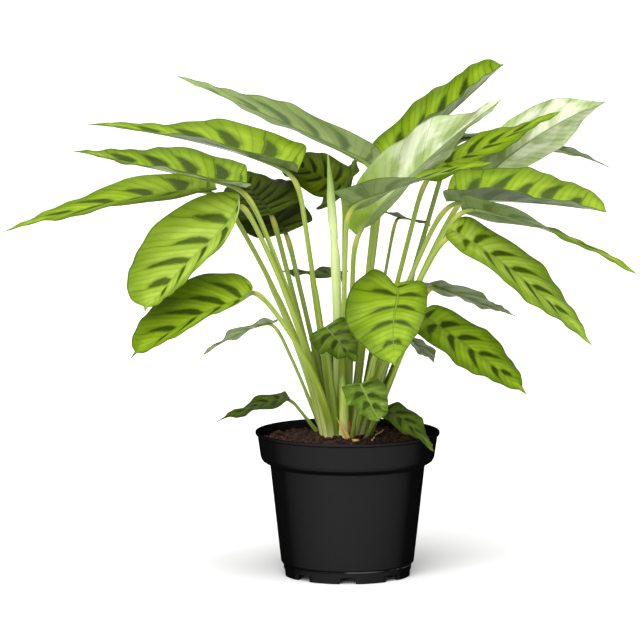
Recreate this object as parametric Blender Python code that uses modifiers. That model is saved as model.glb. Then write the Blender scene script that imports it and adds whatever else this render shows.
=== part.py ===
"""A potted calathea: a black nursery pot with a stepped collar and a notched foot, filled with potting
soil, and a clump of leaves that each stand on a stalk of their own.

Metres, +Z up. The origin is the centre of the foot's underside, on the pot's axis. +X is the plant's
right and -Y its front. Every leaf is one solid: its stalk, which stands in a hole in the soil, and its
waved blade.
"""

import math
from dataclasses import dataclass

import bmesh
import bpy
from mathutils import Vector

POT_HEIGHT = 0.110
RIM_RADIUS = 0.070
LIP_HEIGHT = 0.0022
COLLAR_TOP_RADIUS = 0.0683
COLLAR_BOTTOM_RADIUS = 0.0660
COLLAR_HEIGHT = 0.0195
COLLAR_STEP = 0.0255
BODY_TOP_RADIUS = 0.0588
BODY_BOTTOM_RADIUS = 0.0505
BODY_BOTTOM_HEIGHT = 0.0105
FOOT_RADIUS = 0.0482
FOOT_HEIGHT = 0.0085
FOOT_WIDTH = 0.0026
FOOT_DRAFT = 0.0004
FOOT_ROUND = 0.0008
WALL = 0.0013
EDGE_ROUND = 0.0004
LIP_UNDERCUT = 0.0006
COLLAR_ROUND_DROP = 0.0026
COLLAR_ROUND_IN = 0.0014
STEP_WALL = 0.0010
FLOOR_UNDERSIDE = 0.0060
FLOOR_TOP = 0.0076
# The middle of the floor comes down to the ground as a flat pad.
PAD_RADIUS = 0.0160
PAD_SLOPE = 0.0030
POT_SIDES = 48
SEAM_MERGE = 0.00001
SMOOTH_ANGLE = math.radians(32)

NOTCH_COUNT = 8
NOTCH_WIDTH = 0.0220
NOTCH_HEIGHT = 0.0050
DRAIN_WIDTH = 0.0130
DRAIN_HEIGHT = 0.0046
# A notch narrows to this share of its width at the top.
NOTCH_TAPER = 0.82
DRAIN_DEPTH = FOOT_WIDTH * 2.2
CUTTER_OUTSIDE = 0.0060
CUTTER_BELOW = 0.0020

GAP = 0.0003
SOIL_LEVEL = 0.1030
# The soil's surface from the crown to the wall, as (radius, height above the soil's level).
SOIL_RINGS = ((0.0, 0.0035), (0.014, 0.0032), (0.030, 0.0016), (0.048, 0.0), (0.0656, -0.0006))

HOLE_GAP = 0.00035
HOLE_REACH = 0.0045
ROOT_DEPTH = 0.0140
CROWN_RADIUS = 0.0250
CROWN_CENTRE = Vector((0.000, 0.009))
CROWN_DRAW = 0.22
ROOT_SPACE = 0.0012
RELAX_ROUNDS = 400
# In the last rounds nothing pulls the stalks home, so that they end clear of each other.
SETTLING_ROUNDS = 120
HOME_PULL = 0.01
STALK_FOOT_LARGE = 0.0030
STALK_FOOT_SMALL = 0.0017
STALK_NECK_LARGE = 0.0016
STALK_NECK_SMALL = 0.0011
SHEATH_SHARE = 0.40
SHEATH_CURVE = 0.7
STALK_STEPS = 6
JOINT_BEND = 0.0045
# The stalk runs on under the blade for this share of it, and thins down to its end.
RIB_SHARE = 0.34
RIB_END = 0.0007
RIB_SUNK = 0.55
RIB_TAPER = (0.92, 0.75)
RIB_MIDDLE = 0.55

BLADE_THICKNESS = 0.0009
BLADE_MERGE = 0.00002
BASE_SQUARENESS = 0.45
VEIN_SWEEP = 0.10
VEIN_CURVE = 1.6
LOBE_END = 0.35
# The share of the fold that is lost by the tip, and how far the margins hang for their width.
FOLD_LOSS = 0.35
MARGIN_DROOP = 0.12
# The waves of the two margins are out of step by this much.
WAVE_SHIFT = 1.7
ROW_SPREAD = 1.25
LARGE_WIDTH = 0.036
LARGE_GRID = (6, 10)
SMALL_GRID = (4, 8)

COLLECTION_NAME = "potted_calathea"
CUTTER_COLLECTION_NAME = "cutters"


@dataclass(frozen=True)
class Leaf:
    """One leaf, in metres and degrees.

    joint and tip are the ends of the midrib, and lift says how far the midrib's middle lies off the
    straight line between them. facing is the way that the upper side looks. fold raises both halves
    to a V, twist turns the blade from its base to its tip, and wave is the height of the margin's
    waves. lobe says how far the base reaches back beside the stalk, as a share of the length. sway is
    the stalk's own lift off the straight line from the soil to the joint.
    """

    name: str
    joint: tuple
    tip: tuple
    width: float
    facing: tuple
    lift: tuple = (0.0, 0.0, 0.0)
    fold: float = 12.0
    twist: float = 0.0
    wave: float = 0.0015
    waves: float = 2.5
    phase: float = 0.0
    lobe: float = 0.10
    bluntness: float = 0.8
    shoulder: float = 0.62
    sway: tuple = (0.0, 0.0, 0.0)
    root_shift: tuple = (0.0, 0.0)

    @property
    def large(self):
        return self.width > LARGE_WIDTH

    @property
    def foot_radius(self):
        return STALK_FOOT_LARGE if self.large else STALK_FOOT_SMALL

    @property
    def neck_radius(self):
        return STALK_NECK_LARGE if self.large else STALK_NECK_SMALL


LEAVES = (
    Leaf("leaf_top_left", (0.024, 0.025, 0.309), (-0.130, 0.060, 0.375), 0.042, (0.1, 0.50, 0.86),
         lift=(0.0, 0.0, 0.001), fold=25, wave=0.0012, shoulder=0.52),
    Leaf("leaf_left_high", (-0.038, 0.010, 0.306), (-0.197, 0.025, 0.341), 0.056, (0.0, -0.25, 0.97),
         lift=(0.0, 0.0, 0.006), fold=28, shoulder=0.48, bluntness=1.1),
    Leaf("leaf_left_middle", (-0.076, -0.045, 0.300), (-0.205, -0.070, 0.330), 0.050, (0.0, -0.30, 0.95),
         fold=25, shoulder=0.48, bluntness=1.0, sway=(0.006, 0.0, 0.0)),
    Leaf("leaf_left_far", (-0.099, -0.015, 0.297), (-0.259, -0.030, 0.265), 0.044, (0.0, -0.40, 0.92),
         lift=(0.0, 0.0, 0.005), fold=20, bluntness=0.9, sway=(0.012, 0.0, 0.0), root_shift=(0.0, -0.003)),
    Leaf("leaf_left_broad", (-0.086, -0.055, 0.283), (-0.150, -0.105, 0.214), 0.066, (-0.35, -0.75, 0.55),
         lift=(-0.013, -0.006, 0.002), fold=8, lobe=0.16, shoulder=0.75, bluntness=0.0,
         sway=(0.010, 0.0, 0.0)),
    Leaf("leaf_left_low", (-0.072, -0.050, 0.222), (-0.161, -0.095, 0.178), 0.047, (-0.2, -0.60, 0.77),
         lift=(0.0, 0.0, 0.011), fold=12, shoulder=0.9, bluntness=0.0, sway=(0.014, 0.0, 0.0),
         root_shift=(0.002, -0.004)),
    Leaf("leaf_left_small", (-0.056, 0.014, 0.192), (-0.110, 0.034, 0.164), 0.030, (0.0, 0.15, 0.98),
         lift=(0.0, 0.0, 0.003), fold=15, wave=0.002, sway=(0.002, 0.0, 0.0), root_shift=(-0.008, 0.002)),
    Leaf("leaf_left_rim", (-0.045, 0.045, 0.130), (-0.100, 0.035, 0.112), 0.026, (0.0, -0.20, 0.98),
         lift=(0.0, 0.0, 0.001), fold=12, wave=0.002),
    Leaf("leaf_back_small", (-0.002, 0.078, 0.220), (-0.054, 0.100, 0.220), 0.028, (0.0, -0.10, 1.0),
         fold=12, wave=0.002),
    Leaf("leaf_back_left_upper", (-0.057, 0.015, 0.274), (-0.089, 0.105, 0.300), 0.060,
         (-0.1, -0.55, 0.80), fold=10),
    Leaf("leaf_back_left_lower", (-0.046, 0.030, 0.258), (-0.081, 0.125, 0.287), 0.052,
         (-0.1, -0.55, 0.80), fold=10),
    Leaf("leaf_back_high", (-0.002, 0.050, 0.291), (-0.065, 0.065, 0.318), 0.044, (-0.2, -0.50, 0.85)),
    Leaf("leaf_back_centre", (-0.013, 0.075, 0.274), (0.009, 0.125, 0.307), 0.036, (0.0, 0.60, 0.80)),
    Leaf("leaf_centre_across", (-0.001, -0.035, 0.285), (0.107, -0.060, 0.320), 0.046, (0.0, 0.25, 0.97),
         lift=(0.0, 0.0, 0.003), fold=22, twist=-60, lobe=0.16, root_shift=(-0.008, -0.011)),
    Leaf("leaf_centre_pale", (0.005, -0.012, 0.262), (0.117, 0.010, 0.362), 0.060, (-0.50, 0.75, 0.3),
         lift=(-0.003, 0.0, 0.006), fold=32, shoulder=1.0),
    Leaf("leaf_top_right", (0.028, 0.060, 0.301), (0.120, 0.075, 0.383), 0.044, (-0.6, -0.35, 0.72),
         fold=40, shoulder=0.7, bluntness=-0.2),
    Leaf("leaf_right_upper", (0.059, 0.032, 0.302), (0.162, 0.036, 0.350), 0.042, (-0.3, -0.60, 0.75)),
    Leaf("leaf_right_pale", (0.085, 0.020, 0.284), (0.200, 0.100, 0.352), 0.056, (-0.4, 0.85, 0.1),
         lift=(0.0, 0.0, 0.009), fold=28, shoulder=1.25, bluntness=0.3, sway=(-0.008, 0.0, 0.0),
         root_shift=(0.0, -0.003)),
    Leaf("leaf_back_right", (0.081, 0.090, 0.325), (0.205, 0.130, 0.298), 0.044, (0.0, 0.20, 0.98),
         lift=(0.0, 0.0, 0.008), sway=(0.001, 0.005, 0.0)),
    Leaf("leaf_right_middle", (0.074, -0.020, 0.287), (0.194, -0.030, 0.280), 0.058, (0.1, -0.30, 0.95),
         lift=(0.0, 0.0, 0.012), fold=25, bluntness=-0.1, shoulder=0.75, sway=(-0.008, 0.0, 0.0)),
    Leaf("leaf_right_far", (0.084, -0.050, 0.287), (0.214, -0.078, 0.239), 0.042, (0.2, 0.45, 0.9),
         lift=(0.0, 0.0, 0.007), shoulder=0.8, sway=(-0.010, 0.004, 0.0), root_shift=(0.0, 0.003)),
    Leaf("leaf_right_droop", (0.075, -0.060, 0.271), (0.181, -0.085, 0.186), 0.040, (0.45, -0.45, 0.77),
         lift=(0.003, 0.0, 0.005), fold=18, shoulder=0.7, sway=(-0.008, 0.0, 0.0),
         root_shift=(-0.002, -0.001)),
    Leaf("leaf_right_low", (0.053, -0.035, 0.204), (0.133, -0.080, 0.149), 0.044, (0.4, -0.60, 0.7),
         lift=(0.0, 0.0, 0.003), shoulder=0.75, bluntness=0.3, root_shift=(0.006, -0.005)),
    Leaf("leaf_right_small", (0.062, 0.015, 0.221), (0.130, 0.050, 0.191), 0.034, (0.2, 0.30, 0.93),
         sway=(0.0, 0.003, 0.0), root_shift=(0.0, 0.004)),
    Leaf("leaf_back_right_low", (0.048, 0.026, 0.178), (0.067, 0.060, 0.154), 0.028, (0.3, 0.10, 0.95),
         sway=(0.0, 0.003, 0.0)),
    Leaf("leaf_front_heart", (0.034, -0.062, 0.230), (0.034, -0.137, 0.178), 0.064, (-0.1, -0.60, 0.8),
         lift=(0.0, -0.004, 0.006), fold=6, lobe=0.20, shoulder=0.85, bluntness=0.1),
    Leaf("leaf_front_dark", (-0.017, -0.035, 0.194), (0.007, -0.060, 0.171), 0.038, (0.0, -0.70, 0.7),
         root_shift=(-0.004, -0.012)),
    Leaf("leaf_front_small", (0.009, -0.050, 0.153), (0.015, -0.085, 0.131), 0.034, (0.1, -0.70, 0.7),
         root_shift=(0.004, -0.006)),
    Leaf("leaf_rim_right", (0.027, -0.030, 0.132), (0.064, -0.066, 0.104), 0.030, (0.3, -0.50, 0.8),
         lift=(0.0, 0.0, 0.004), root_shift=(0.010, -0.017)),
    Leaf("leaf_back_right_small", (0.037, 0.060, 0.267), (0.065, 0.130, 0.254), 0.034, (0.1, -0.30, 0.95)),
    Leaf("leaf_inner_dark", (-0.011, 0.042, 0.145), (-0.027, 0.060, 0.173), 0.024, (0.0, -0.50, 0.85),
         root_shift=(-0.006, 0.004)),
)

# Rolled pieces are bars along (x, y, z, radius). Each starts in the soil.
ROLLED_LEAF = (
    (-0.007, -0.001, 0.089, 0.0028),
    (-0.007, -0.003, 0.145, 0.0027),
    (-0.008, -0.005, 0.186, 0.0026),
    (-0.009, -0.007, 0.238, 0.0030),
    (-0.010, -0.008, 0.255, 0.0024),
    (-0.012, -0.009, 0.276, 0.0031),
    (-0.013, -0.010, 0.298, 0.0022),
    (-0.015, -0.010, 0.322, 0.0006),
)
SHOOT = (
    (-0.001, -0.008, 0.094, 0.0028),
    (-0.002, -0.009, 0.112, 0.0028),
    (-0.002, -0.009, 0.131, 0.0026),
    (-0.003, -0.009, 0.144, 0.0017),
    (-0.003, -0.010, 0.155, 0.0005),
)
DRY_SHEATH = (
    (-0.0005, -0.0190, 0.0965, 0.0010),
    (-0.0010, -0.0200, 0.1070, 0.0010),
    (-0.0030, -0.0212, 0.1130, 0.0012),
    (-0.0060, -0.0225, 0.1185, 0.0005),
)
# The root fibre lies on the soil along these (x, y) places.
ROOT_FIBRE = ((0.029, -0.022), (0.033, -0.012), (0.036, 0.002), (0.041, 0.011), (0.042, 0.022))
ROOT_FIBRE_RADIUS = 0.0005


def lit(red, green, blue):
    """An sRGB colour of 0 to 255 as the linear colour that a material takes."""
    channels = [value / 255 for value in (red, green, blue)]
    return tuple(c / 12.92 if c <= 0.04045 else ((c + 0.055) / 1.055) ** 2.4 for c in channels) + (1.0,)


def material(name, colour, roughness, metallic=0.0):
    """A Principled material of one colour."""
    made = bpy.data.materials.new(name)
    made.use_nodes = True
    shader = made.node_tree.nodes["Principled BSDF"]
    shader.inputs["Base Color"].default_value = colour
    shader.inputs["Roughness"].default_value = roughness
    shader.inputs["Metallic"].default_value = metallic
    made.diffuse_color = colour
    return made


def clear_scene():
    """Takes every object out of the scene."""
    for obj in list(bpy.data.objects):
        bpy.data.objects.remove(obj, do_unlink=True)


def new_collection(name):
    """A collection under the scene."""
    made = bpy.data.collections.new(name)
    bpy.context.scene.collection.children.link(made)
    return made


def add_object(name, mesh, collection):
    """An object that holds the mesh, in the collection."""
    made = bpy.data.objects.new(name, mesh)
    collection.objects.link(made)
    return made


def make_cutter(obj):
    """Keeps a helper out of the picture."""
    obj.hide_render = True
    obj.display_type = "WIRE"


def cut(target, cutter, name):
    """Takes the cutter's space out of the target."""
    modifier = target.modifiers.new(name, "BOOLEAN")
    modifier.operation = "DIFFERENCE"
    modifier.object = cutter


def apply_modifiers(obj):
    """Makes what the modifiers give the object's own mesh."""
    bpy.context.view_layer.update()
    graph = bpy.context.evaluated_depsgraph_get()
    finished = bpy.data.meshes.new_from_object(obj.evaluated_get(graph))
    obj.modifiers.clear()
    obj.data = finished


def turned(name, profile, collection, sides=POT_SIDES):
    """A solid turned about the Z axis from a profile of (radius, height) points.

    The profile starts and ends on the axis.
    """
    mesh = bpy.data.meshes.new(name)
    form = bmesh.new()
    points = [form.verts.new((radius, 0.0, height)) for radius, height in profile]
    for start, end in zip(points, points[1:]):
        form.edges.new((start, end))
    form.to_mesh(mesh)
    form.free()
    obj = add_object(name, mesh, collection)
    screw = obj.modifiers.new("turn", "SCREW")
    screw.steps = sides
    screw.render_steps = sides
    screw.use_merge_vertices = True
    screw.merge_threshold = SEAM_MERGE
    screw.use_normal_calculate = False
    return obj


def inner_radius(height):
    """The pot's inside radius at a height."""
    body = BODY_BOTTOM_RADIUS + (BODY_TOP_RADIUS - BODY_BOTTOM_RADIUS) * (
        (height - BODY_BOTTOM_HEIGHT) / (POT_HEIGHT - COLLAR_STEP - BODY_BOTTOM_HEIGHT)
    )
    return body - WALL


def build_pot(collection, cutters, black):
    """The pot: a thin turned wall with its lip, collar and foot, and the notches cut in the foot."""
    step = POT_HEIGHT - COLLAR_STEP
    collar_foot = POT_HEIGHT - COLLAR_HEIGHT
    under_lip = POT_HEIGHT - LIP_HEIGHT - LIP_UNDERCUT
    foot_inside = FOOT_RADIUS - FOOT_WIDTH
    profile = [
        (0.0, WALL),
        (PAD_RADIUS, WALL),
        (PAD_RADIUS + PAD_SLOPE, FLOOR_TOP),
        (inner_radius(FLOOR_TOP), FLOOR_TOP),
        (inner_radius(step), step),
        (COLLAR_BOTTOM_RADIUS - COLLAR_ROUND_IN - STEP_WALL, collar_foot - COLLAR_ROUND_DROP / 2),
        (COLLAR_BOTTOM_RADIUS - WALL, collar_foot),
        (COLLAR_TOP_RADIUS - WALL, under_lip),
        (RIM_RADIUS - WALL - EDGE_ROUND * 2, POT_HEIGHT - EDGE_ROUND),
        (RIM_RADIUS - WALL - EDGE_ROUND, POT_HEIGHT),
        (RIM_RADIUS - EDGE_ROUND, POT_HEIGHT),
        (RIM_RADIUS, POT_HEIGHT - EDGE_ROUND),
        (RIM_RADIUS, POT_HEIGHT - LIP_HEIGHT + EDGE_ROUND),
        (COLLAR_TOP_RADIUS, under_lip),
        (COLLAR_BOTTOM_RADIUS, collar_foot),
        (COLLAR_BOTTOM_RADIUS - COLLAR_ROUND_IN, collar_foot - COLLAR_ROUND_DROP),
        (BODY_TOP_RADIUS, step),
        (BODY_BOTTOM_RADIUS, BODY_BOTTOM_HEIGHT),
        (FOOT_RADIUS + FOOT_DRAFT, FOOT_HEIGHT),
        (FOOT_RADIUS, FOOT_ROUND),
        (FOOT_RADIUS - FOOT_ROUND, 0.0),
        (foot_inside, 0.0),
        (foot_inside - FOOT_DRAFT, FLOOR_UNDERSIDE),
        (PAD_RADIUS + PAD_SLOPE + WALL, FLOOR_UNDERSIDE),
        (PAD_RADIUS + WALL, 0.0),
        (0.0, 0.0),
    ]
    pot = turned("pot", profile, collection)
    pot.data.materials.append(black)
    for index in range(NOTCH_COUNT):
        angle = index * math.tau / NOTCH_COUNT - math.pi / 2
        outer = notch_cutter(NOTCH_WIDTH, NOTCH_HEIGHT, FOOT_WIDTH / 2, cutters, angle)
        inner = notch_cutter(DRAIN_WIDTH, DRAIN_HEIGHT, DRAIN_DEPTH, cutters, angle)
        cut(pot, outer, f"notch_{index}")
        cut(pot, inner, f"drain_{index}")
    apply_modifiers(pot)
    remove_all(cutters)
    smooth(pot)
    return pot


def notch_cutter(width, height, depth, cutters, angle):
    """A block that cuts the foot from outside, to a depth below its outer face."""
    mesh = bpy.data.meshes.new("notch")
    form = bmesh.new()
    bmesh.ops.create_cube(form, size=1.0)
    middle = FOOT_RADIUS + (CUTTER_OUTSIDE - depth) / 2
    for vert in form.verts:
        high = vert.co.z > 0
        vert.co.x = vert.co.x * (CUTTER_OUTSIDE + depth) + middle
        vert.co.y = vert.co.y * width * (NOTCH_TAPER if high else 1.0)
        vert.co.z = height if high else -CUTTER_BELOW
    form.to_mesh(mesh)
    form.free()
    block = add_object("notch", mesh, cutters)
    block.rotation_euler.z = angle
    make_cutter(block)
    return block


def remove_all(collection):
    """Removes a collection's objects."""
    for obj in list(collection.objects):
        bpy.data.objects.remove(obj, do_unlink=True)


def smooth(obj):
    """Shades the faces smooth, but for the hard edges."""
    obj.data.shade_smooth()
    obj.data.set_sharp_from_angle(angle=SMOOTH_ANGLE)


def soil_height(radius):
    """How high the soil's surface stands at a distance from the pot's axis."""
    inner, outer = SOIL_RINGS[0], SOIL_RINGS[-1]
    for inner, outer in zip(SOIL_RINGS, SOIL_RINGS[1:]):
        if radius <= outer[0]:
            break
    share = (radius - inner[0]) / (outer[0] - inner[0])
    return SOIL_LEVEL + inner[1] + (outer[1] - inner[1]) * share


def build_soil(collection, brown):
    """The soil: it fills the pot and rises a little to the crown of the plant."""
    step = POT_HEIGHT - COLLAR_STEP
    collar_foot = POT_HEIGHT - COLLAR_HEIGHT
    shoulder_drop = COLLAR_ROUND_DROP / 2
    profile = [(radius, SOIL_LEVEL + rise) for radius, rise in SOIL_RINGS] + [
        (COLLAR_BOTTOM_RADIUS - WALL - GAP * 1.5, collar_foot),
        (COLLAR_BOTTOM_RADIUS - COLLAR_ROUND_IN - STEP_WALL - GAP * 2, collar_foot - shoulder_drop + GAP),
        (inner_radius(step) - GAP, step),
        (inner_radius(FLOOR_TOP) - GAP, FLOOR_TOP + GAP),
        (PAD_RADIUS + PAD_SLOPE - GAP, FLOOR_TOP + GAP),
        (PAD_RADIUS - GAP, WALL + GAP),
        (0.0, WALL + GAP),
    ]
    soil = turned("soil", profile, collection)
    soil.data.materials.append(brown)
    return soil


def crown_roots():
    """Where each stalk enters the soil: drawn in under its joint, and spread until none is crowded."""
    fixed = [(Vector(bar[0][:2]), bar[0][3]) for bar in (ROLLED_LEAF, SHOOT, DRY_SHEATH)]
    homes = []
    for leaf in LEAVES:
        home = Vector(leaf.joint[:2]) * CROWN_DRAW + CROWN_CENTRE * (1 - CROWN_DRAW)
        homes.append(home + Vector(leaf.root_shift))
    roots = [home.copy() for home in homes]
    for turn in range(RELAX_ROUNDS):
        pull = HOME_PULL if turn < RELAX_ROUNDS - SETTLING_ROUNDS else 0.0
        for first, root in enumerate(roots):
            for place, radius in fixed:
                away = root - place
                least = LEAVES[first].foot_radius + radius + ROOT_SPACE
                if away.length < least:
                    root += away.normalized() * (least - away.length)
            for second in range(first + 1, len(roots)):
                away = roots[second] - root
                least = LEAVES[first].foot_radius + LEAVES[second].foot_radius + ROOT_SPACE
                if away.length < least:
                    push = away.normalized() * (least - away.length) * 0.5
                    root -= push
                    roots[second] += push
        for root, home in zip(roots, homes):
            root += (home - root) * pull
            offset = root - CROWN_CENTRE
            if offset.length > CROWN_RADIUS:
                root += offset.normalized() * (CROWN_RADIUS - offset.length)
    return roots


def bent(start, lift, end, share):
    """A point on the curve from start to end whose middle lies off the straight line by lift."""
    start, end = Vector(start), Vector(end)
    return start.lerp(end, share) + Vector(lift) * (4 * share * (1 - share))


def blade_frame(leaf, share):
    """The midrib's place, and the ways along, across and up from the blade there."""
    held = min(max(share, 0.0), 1.0)
    start, end, lift = Vector(leaf.joint), Vector(leaf.tip), Vector(leaf.lift)
    along = (end - start) + lift * (4 - 8 * held)
    place = bent(start, lift, end, held) + along * (share - held)
    along.normalize()
    up = Vector(leaf.facing)
    up = (up - along * up.dot(along)).normalized()
    across = along.cross(up)
    turn = math.radians(leaf.twist) * (held - 0.5)
    across, up = across * math.cos(turn) + up * math.sin(turn), up * math.cos(turn) - across * math.sin(turn)
    return place, along, across, up


def blade_point(leaf, side, row):
    """A point of the blade.

    side runs from -1 at one margin through 0 on the midrib to 1 at the other margin, and row runs
    from 0 at the joint to 1 at the tip, along the side veins.
    """
    out = abs(side)
    half = math.sin(math.pi * row**leaf.shoulder) if row < 1 else 0.0
    half = leaf.width / 2 * half ** (BASE_SQUARENESS + leaf.bluntness * row)
    margin = row - leaf.lobe * math.sin(math.pi * min(1.0, row / LOBE_END))
    rib = row - VEIN_SWEEP * math.sin(math.pi * row)
    share = rib + (margin - rib) * out**VEIN_CURVE
    place, _, across, up = blade_frame(leaf, share)
    swing = math.sin(math.tau * leaf.waves * row + leaf.phase + (WAVE_SHIFT if side > 0 else 0.0))
    wave = leaf.wave * swing * out**2 * math.sin(math.pi * row) ** 0.5
    fold = math.radians(leaf.fold) * (1 - FOLD_LOSS * row)
    droop = half * out * out * MARGIN_DROOP
    distance = half * out
    rise = distance * math.sin(fold) - droop + wave
    reach = distance * math.cos(fold) * (1 if side >= 0 else -1)
    return place + across * reach + up * rise


def build_blade(leaf, collection):
    """The blade: a grid whose rows follow the side veins, given its thickness."""
    cells_across, cells_along = LARGE_GRID if leaf.large else SMALL_GRID
    mesh = bpy.data.meshes.new(leaf.name)
    form = bmesh.new()
    bmesh.ops.create_grid(form, x_segments=cells_across, y_segments=cells_along, size=1.0)
    for vert in form.verts:
        row = ((vert.co.y + 1) / 2) ** ROW_SPREAD
        vert.co = blade_point(leaf, vert.co.x, min(1.0, row))
    bmesh.ops.remove_doubles(form, verts=form.verts, dist=BLADE_MERGE)
    bmesh.ops.triangulate(form, faces=form.faces, quad_method="FIXED")
    form.to_mesh(mesh)
    form.free()
    blade = add_object(leaf.name, mesh, collection)
    wall = blade.modifiers.new("thickness", "SOLIDIFY")
    wall.thickness = BLADE_THICKNESS
    wall.offset = 0.0
    wall.use_even_offset = False
    apply_modifiers(blade)
    return blade


def stalk_path(leaf, root):
    """Points (place, radius) from the stalk's foot in the soil, up to the joint and along the rib."""
    foot = Vector((root.x, root.y, SOIL_LEVEL - ROOT_DEPTH))
    joint = Vector(leaf.joint)
    length = (joint - foot).length
    stop = 1 - JOINT_BEND / length
    path = []
    for step in range(STALK_STEPS):
        share = stop * step / (STALK_STEPS - 1)
        sheath = max(0.0, 1 - share / SHEATH_SHARE)
        radius = leaf.neck_radius + (leaf.foot_radius - leaf.neck_radius) * sheath**SHEATH_CURVE
        path.append((bent(foot, leaf.sway, joint, share), radius))
    blade_length = (Vector(leaf.tip) - joint).length
    after = JOINT_BEND / blade_length
    shares = (0.0, after, RIB_SHARE * RIB_MIDDLE, RIB_SHARE)
    for share, thin in zip(shares, (1.0, *RIB_TAPER, 0.0)):
        place, _, _, up = blade_frame(leaf, share)
        radius = RIB_END + (leaf.neck_radius - RIB_END) * thin
        sunk = place - up * radius * RIB_SUNK
        if share == 0.0:
            sunk = (path[-1][0] + sunk * 2 + blade_frame(leaf, after)[0]) / 4
        path.append((sunk, radius))
    return path


def tube(name, path, collection, resolution=1):
    """A round bar along the points, each with its own radius, as a closed mesh."""
    curve = bpy.data.curves.new(name, "CURVE")
    curve.dimensions = "3D"
    curve.bevel_depth = 1.0
    curve.bevel_resolution = resolution
    curve.use_fill_caps = True
    spline = curve.splines.new("POLY")
    spline.points.add(len(path) - 1)
    for point, (place, radius) in zip(spline.points, path):
        point.co = (*place, 1.0)
        point.radius = radius
    guide = bpy.data.objects.new(name + "_guide", curve)
    collection.objects.link(guide)
    bpy.context.view_layer.update()
    graph = bpy.context.evaluated_depsgraph_get()
    mesh = bpy.data.meshes.new_from_object(guide.evaluated_get(graph))
    made = add_object(name, mesh, collection)
    made.matrix_world = guide.matrix_world
    bpy.data.objects.remove(guide, do_unlink=True)
    form = bmesh.new()
    form.from_mesh(mesh)
    bmesh.ops.remove_doubles(form, verts=form.verts, dist=SEAM_MERGE)
    bmesh.ops.recalc_face_normals(form, faces=form.faces)
    form.to_mesh(mesh)
    form.free()
    return made


def build_leaf(leaf, root, collection, green):
    """One leaf: its blade joined with its stalk."""
    blade = build_blade(leaf, collection)
    stalk = tube(leaf.name + "_stalk", stalk_path(leaf, root), collection)
    joining = blade.modifiers.new("stalk", "BOOLEAN")
    joining.operation = "UNION"
    joining.object = stalk
    apply_modifiers(blade)
    bpy.data.objects.remove(stalk, do_unlink=True)
    blade.data.materials.clear()
    blade.data.materials.append(green)
    smooth(blade)
    return blade


def build_fibre(collection, finish):
    """The pale root fibre that lies on the soil."""
    path = []
    for x, y in ROOT_FIBRE:
        height = soil_height(math.hypot(x, y)) + ROOT_FIBRE_RADIUS + GAP
        path.append((Vector((x, y, height)), ROOT_FIBRE_RADIUS))
    fibre = tube("root_fibre", path, collection, resolution=0)
    fibre.data.materials.append(finish)
    smooth(fibre)


def pierce_soil(soil, paths, cutters):
    """Cuts a plain hole in the soil for the foot of each stalk, a little wider than the stalk."""
    for path in paths:
        foot, foot_radius = path[0]
        down = (foot - path[1][0]).normalized()
        bore = [(foot + down * HOLE_GAP * 2, foot_radius + HOLE_GAP)]
        for place, radius in path[1:]:
            bore.append((place, radius + HOLE_GAP))
            if place.z > SOIL_LEVEL + HOLE_REACH:
                break
        make_cutter(tube("hole", bore, cutters))
    holes = soil.modifiers.new("holes", "BOOLEAN")
    holes.operation = "DIFFERENCE"
    holes.operand_type = "COLLECTION"
    holes.collection = cutters
    apply_modifiers(soil)
    remove_all(cutters)
    smooth(soil)


def main():
    clear_scene()
    parts = new_collection(COLLECTION_NAME)
    cutters = new_collection(CUTTER_COLLECTION_NAME)
    black = material("pot_plastic", lit(25, 25, 26), 0.45)
    brown = material("potting_soil", lit(60, 36, 24), 0.95)
    green = material("leaf_green", lit(132, 168, 52), 0.42)
    straw = material("dry_straw", lit(196, 158, 92), 0.7)
    pale = material("shoot_green", lit(176, 196, 110), 0.45)
    build_pot(parts, cutters, black)
    soil = build_soil(parts, brown)
    paths = []
    for leaf, root in zip(LEAVES, crown_roots()):
        build_leaf(leaf, root, parts, green)
        paths.append(stalk_path(leaf, root))
    for name, bar, finish in (
        ("leaf_rolled", ROLLED_LEAF, pale),
        ("shoot", SHOOT, pale),
        ("dry_sheath", DRY_SHEATH, straw),
    ):
        path = [(Vector(point[:3]), point[3]) for point in bar]
        rolled = tube(name, path, parts)
        rolled.data.materials.append(finish)
        smooth(rolled)
        paths.append(path)
    pierce_soil(soil, paths, cutters)
    build_fibre(parts, straw)


main()
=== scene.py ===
"""The dressed potted calathea: leaves with their veins and markings, sheathed stalks, crumbly soil and
a moulded black nursery pot, with a plain pale floor, soft lights and a camera.

Metres, +Z up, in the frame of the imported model. Each leaf is made from the same named shape as its
solid, on a finer grid.
"""

import logging
import math
import random
from collections.abc import Callable, Sequence
from dataclasses import dataclass
from enum import Enum
from functools import cache

import bpy
from mathutils import Matrix, Vector, noise


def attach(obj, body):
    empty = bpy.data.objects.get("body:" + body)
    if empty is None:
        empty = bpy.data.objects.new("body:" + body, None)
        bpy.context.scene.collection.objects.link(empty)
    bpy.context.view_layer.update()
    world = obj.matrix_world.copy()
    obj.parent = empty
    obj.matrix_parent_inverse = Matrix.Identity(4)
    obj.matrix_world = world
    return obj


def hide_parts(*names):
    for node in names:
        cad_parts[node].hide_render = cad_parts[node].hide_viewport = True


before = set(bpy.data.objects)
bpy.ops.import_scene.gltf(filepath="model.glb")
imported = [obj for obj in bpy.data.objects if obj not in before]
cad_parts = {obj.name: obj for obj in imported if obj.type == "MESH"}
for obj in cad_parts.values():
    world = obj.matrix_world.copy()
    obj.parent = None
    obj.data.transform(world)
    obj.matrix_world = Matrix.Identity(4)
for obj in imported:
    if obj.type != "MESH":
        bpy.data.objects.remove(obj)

LOG = logging.getLogger("calathea")
Triple = tuple[float, float, float]
Colour = tuple[float, float, float, float]
Spot = tuple[Vector, float, float]
Cells = tuple[int, int]

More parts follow.
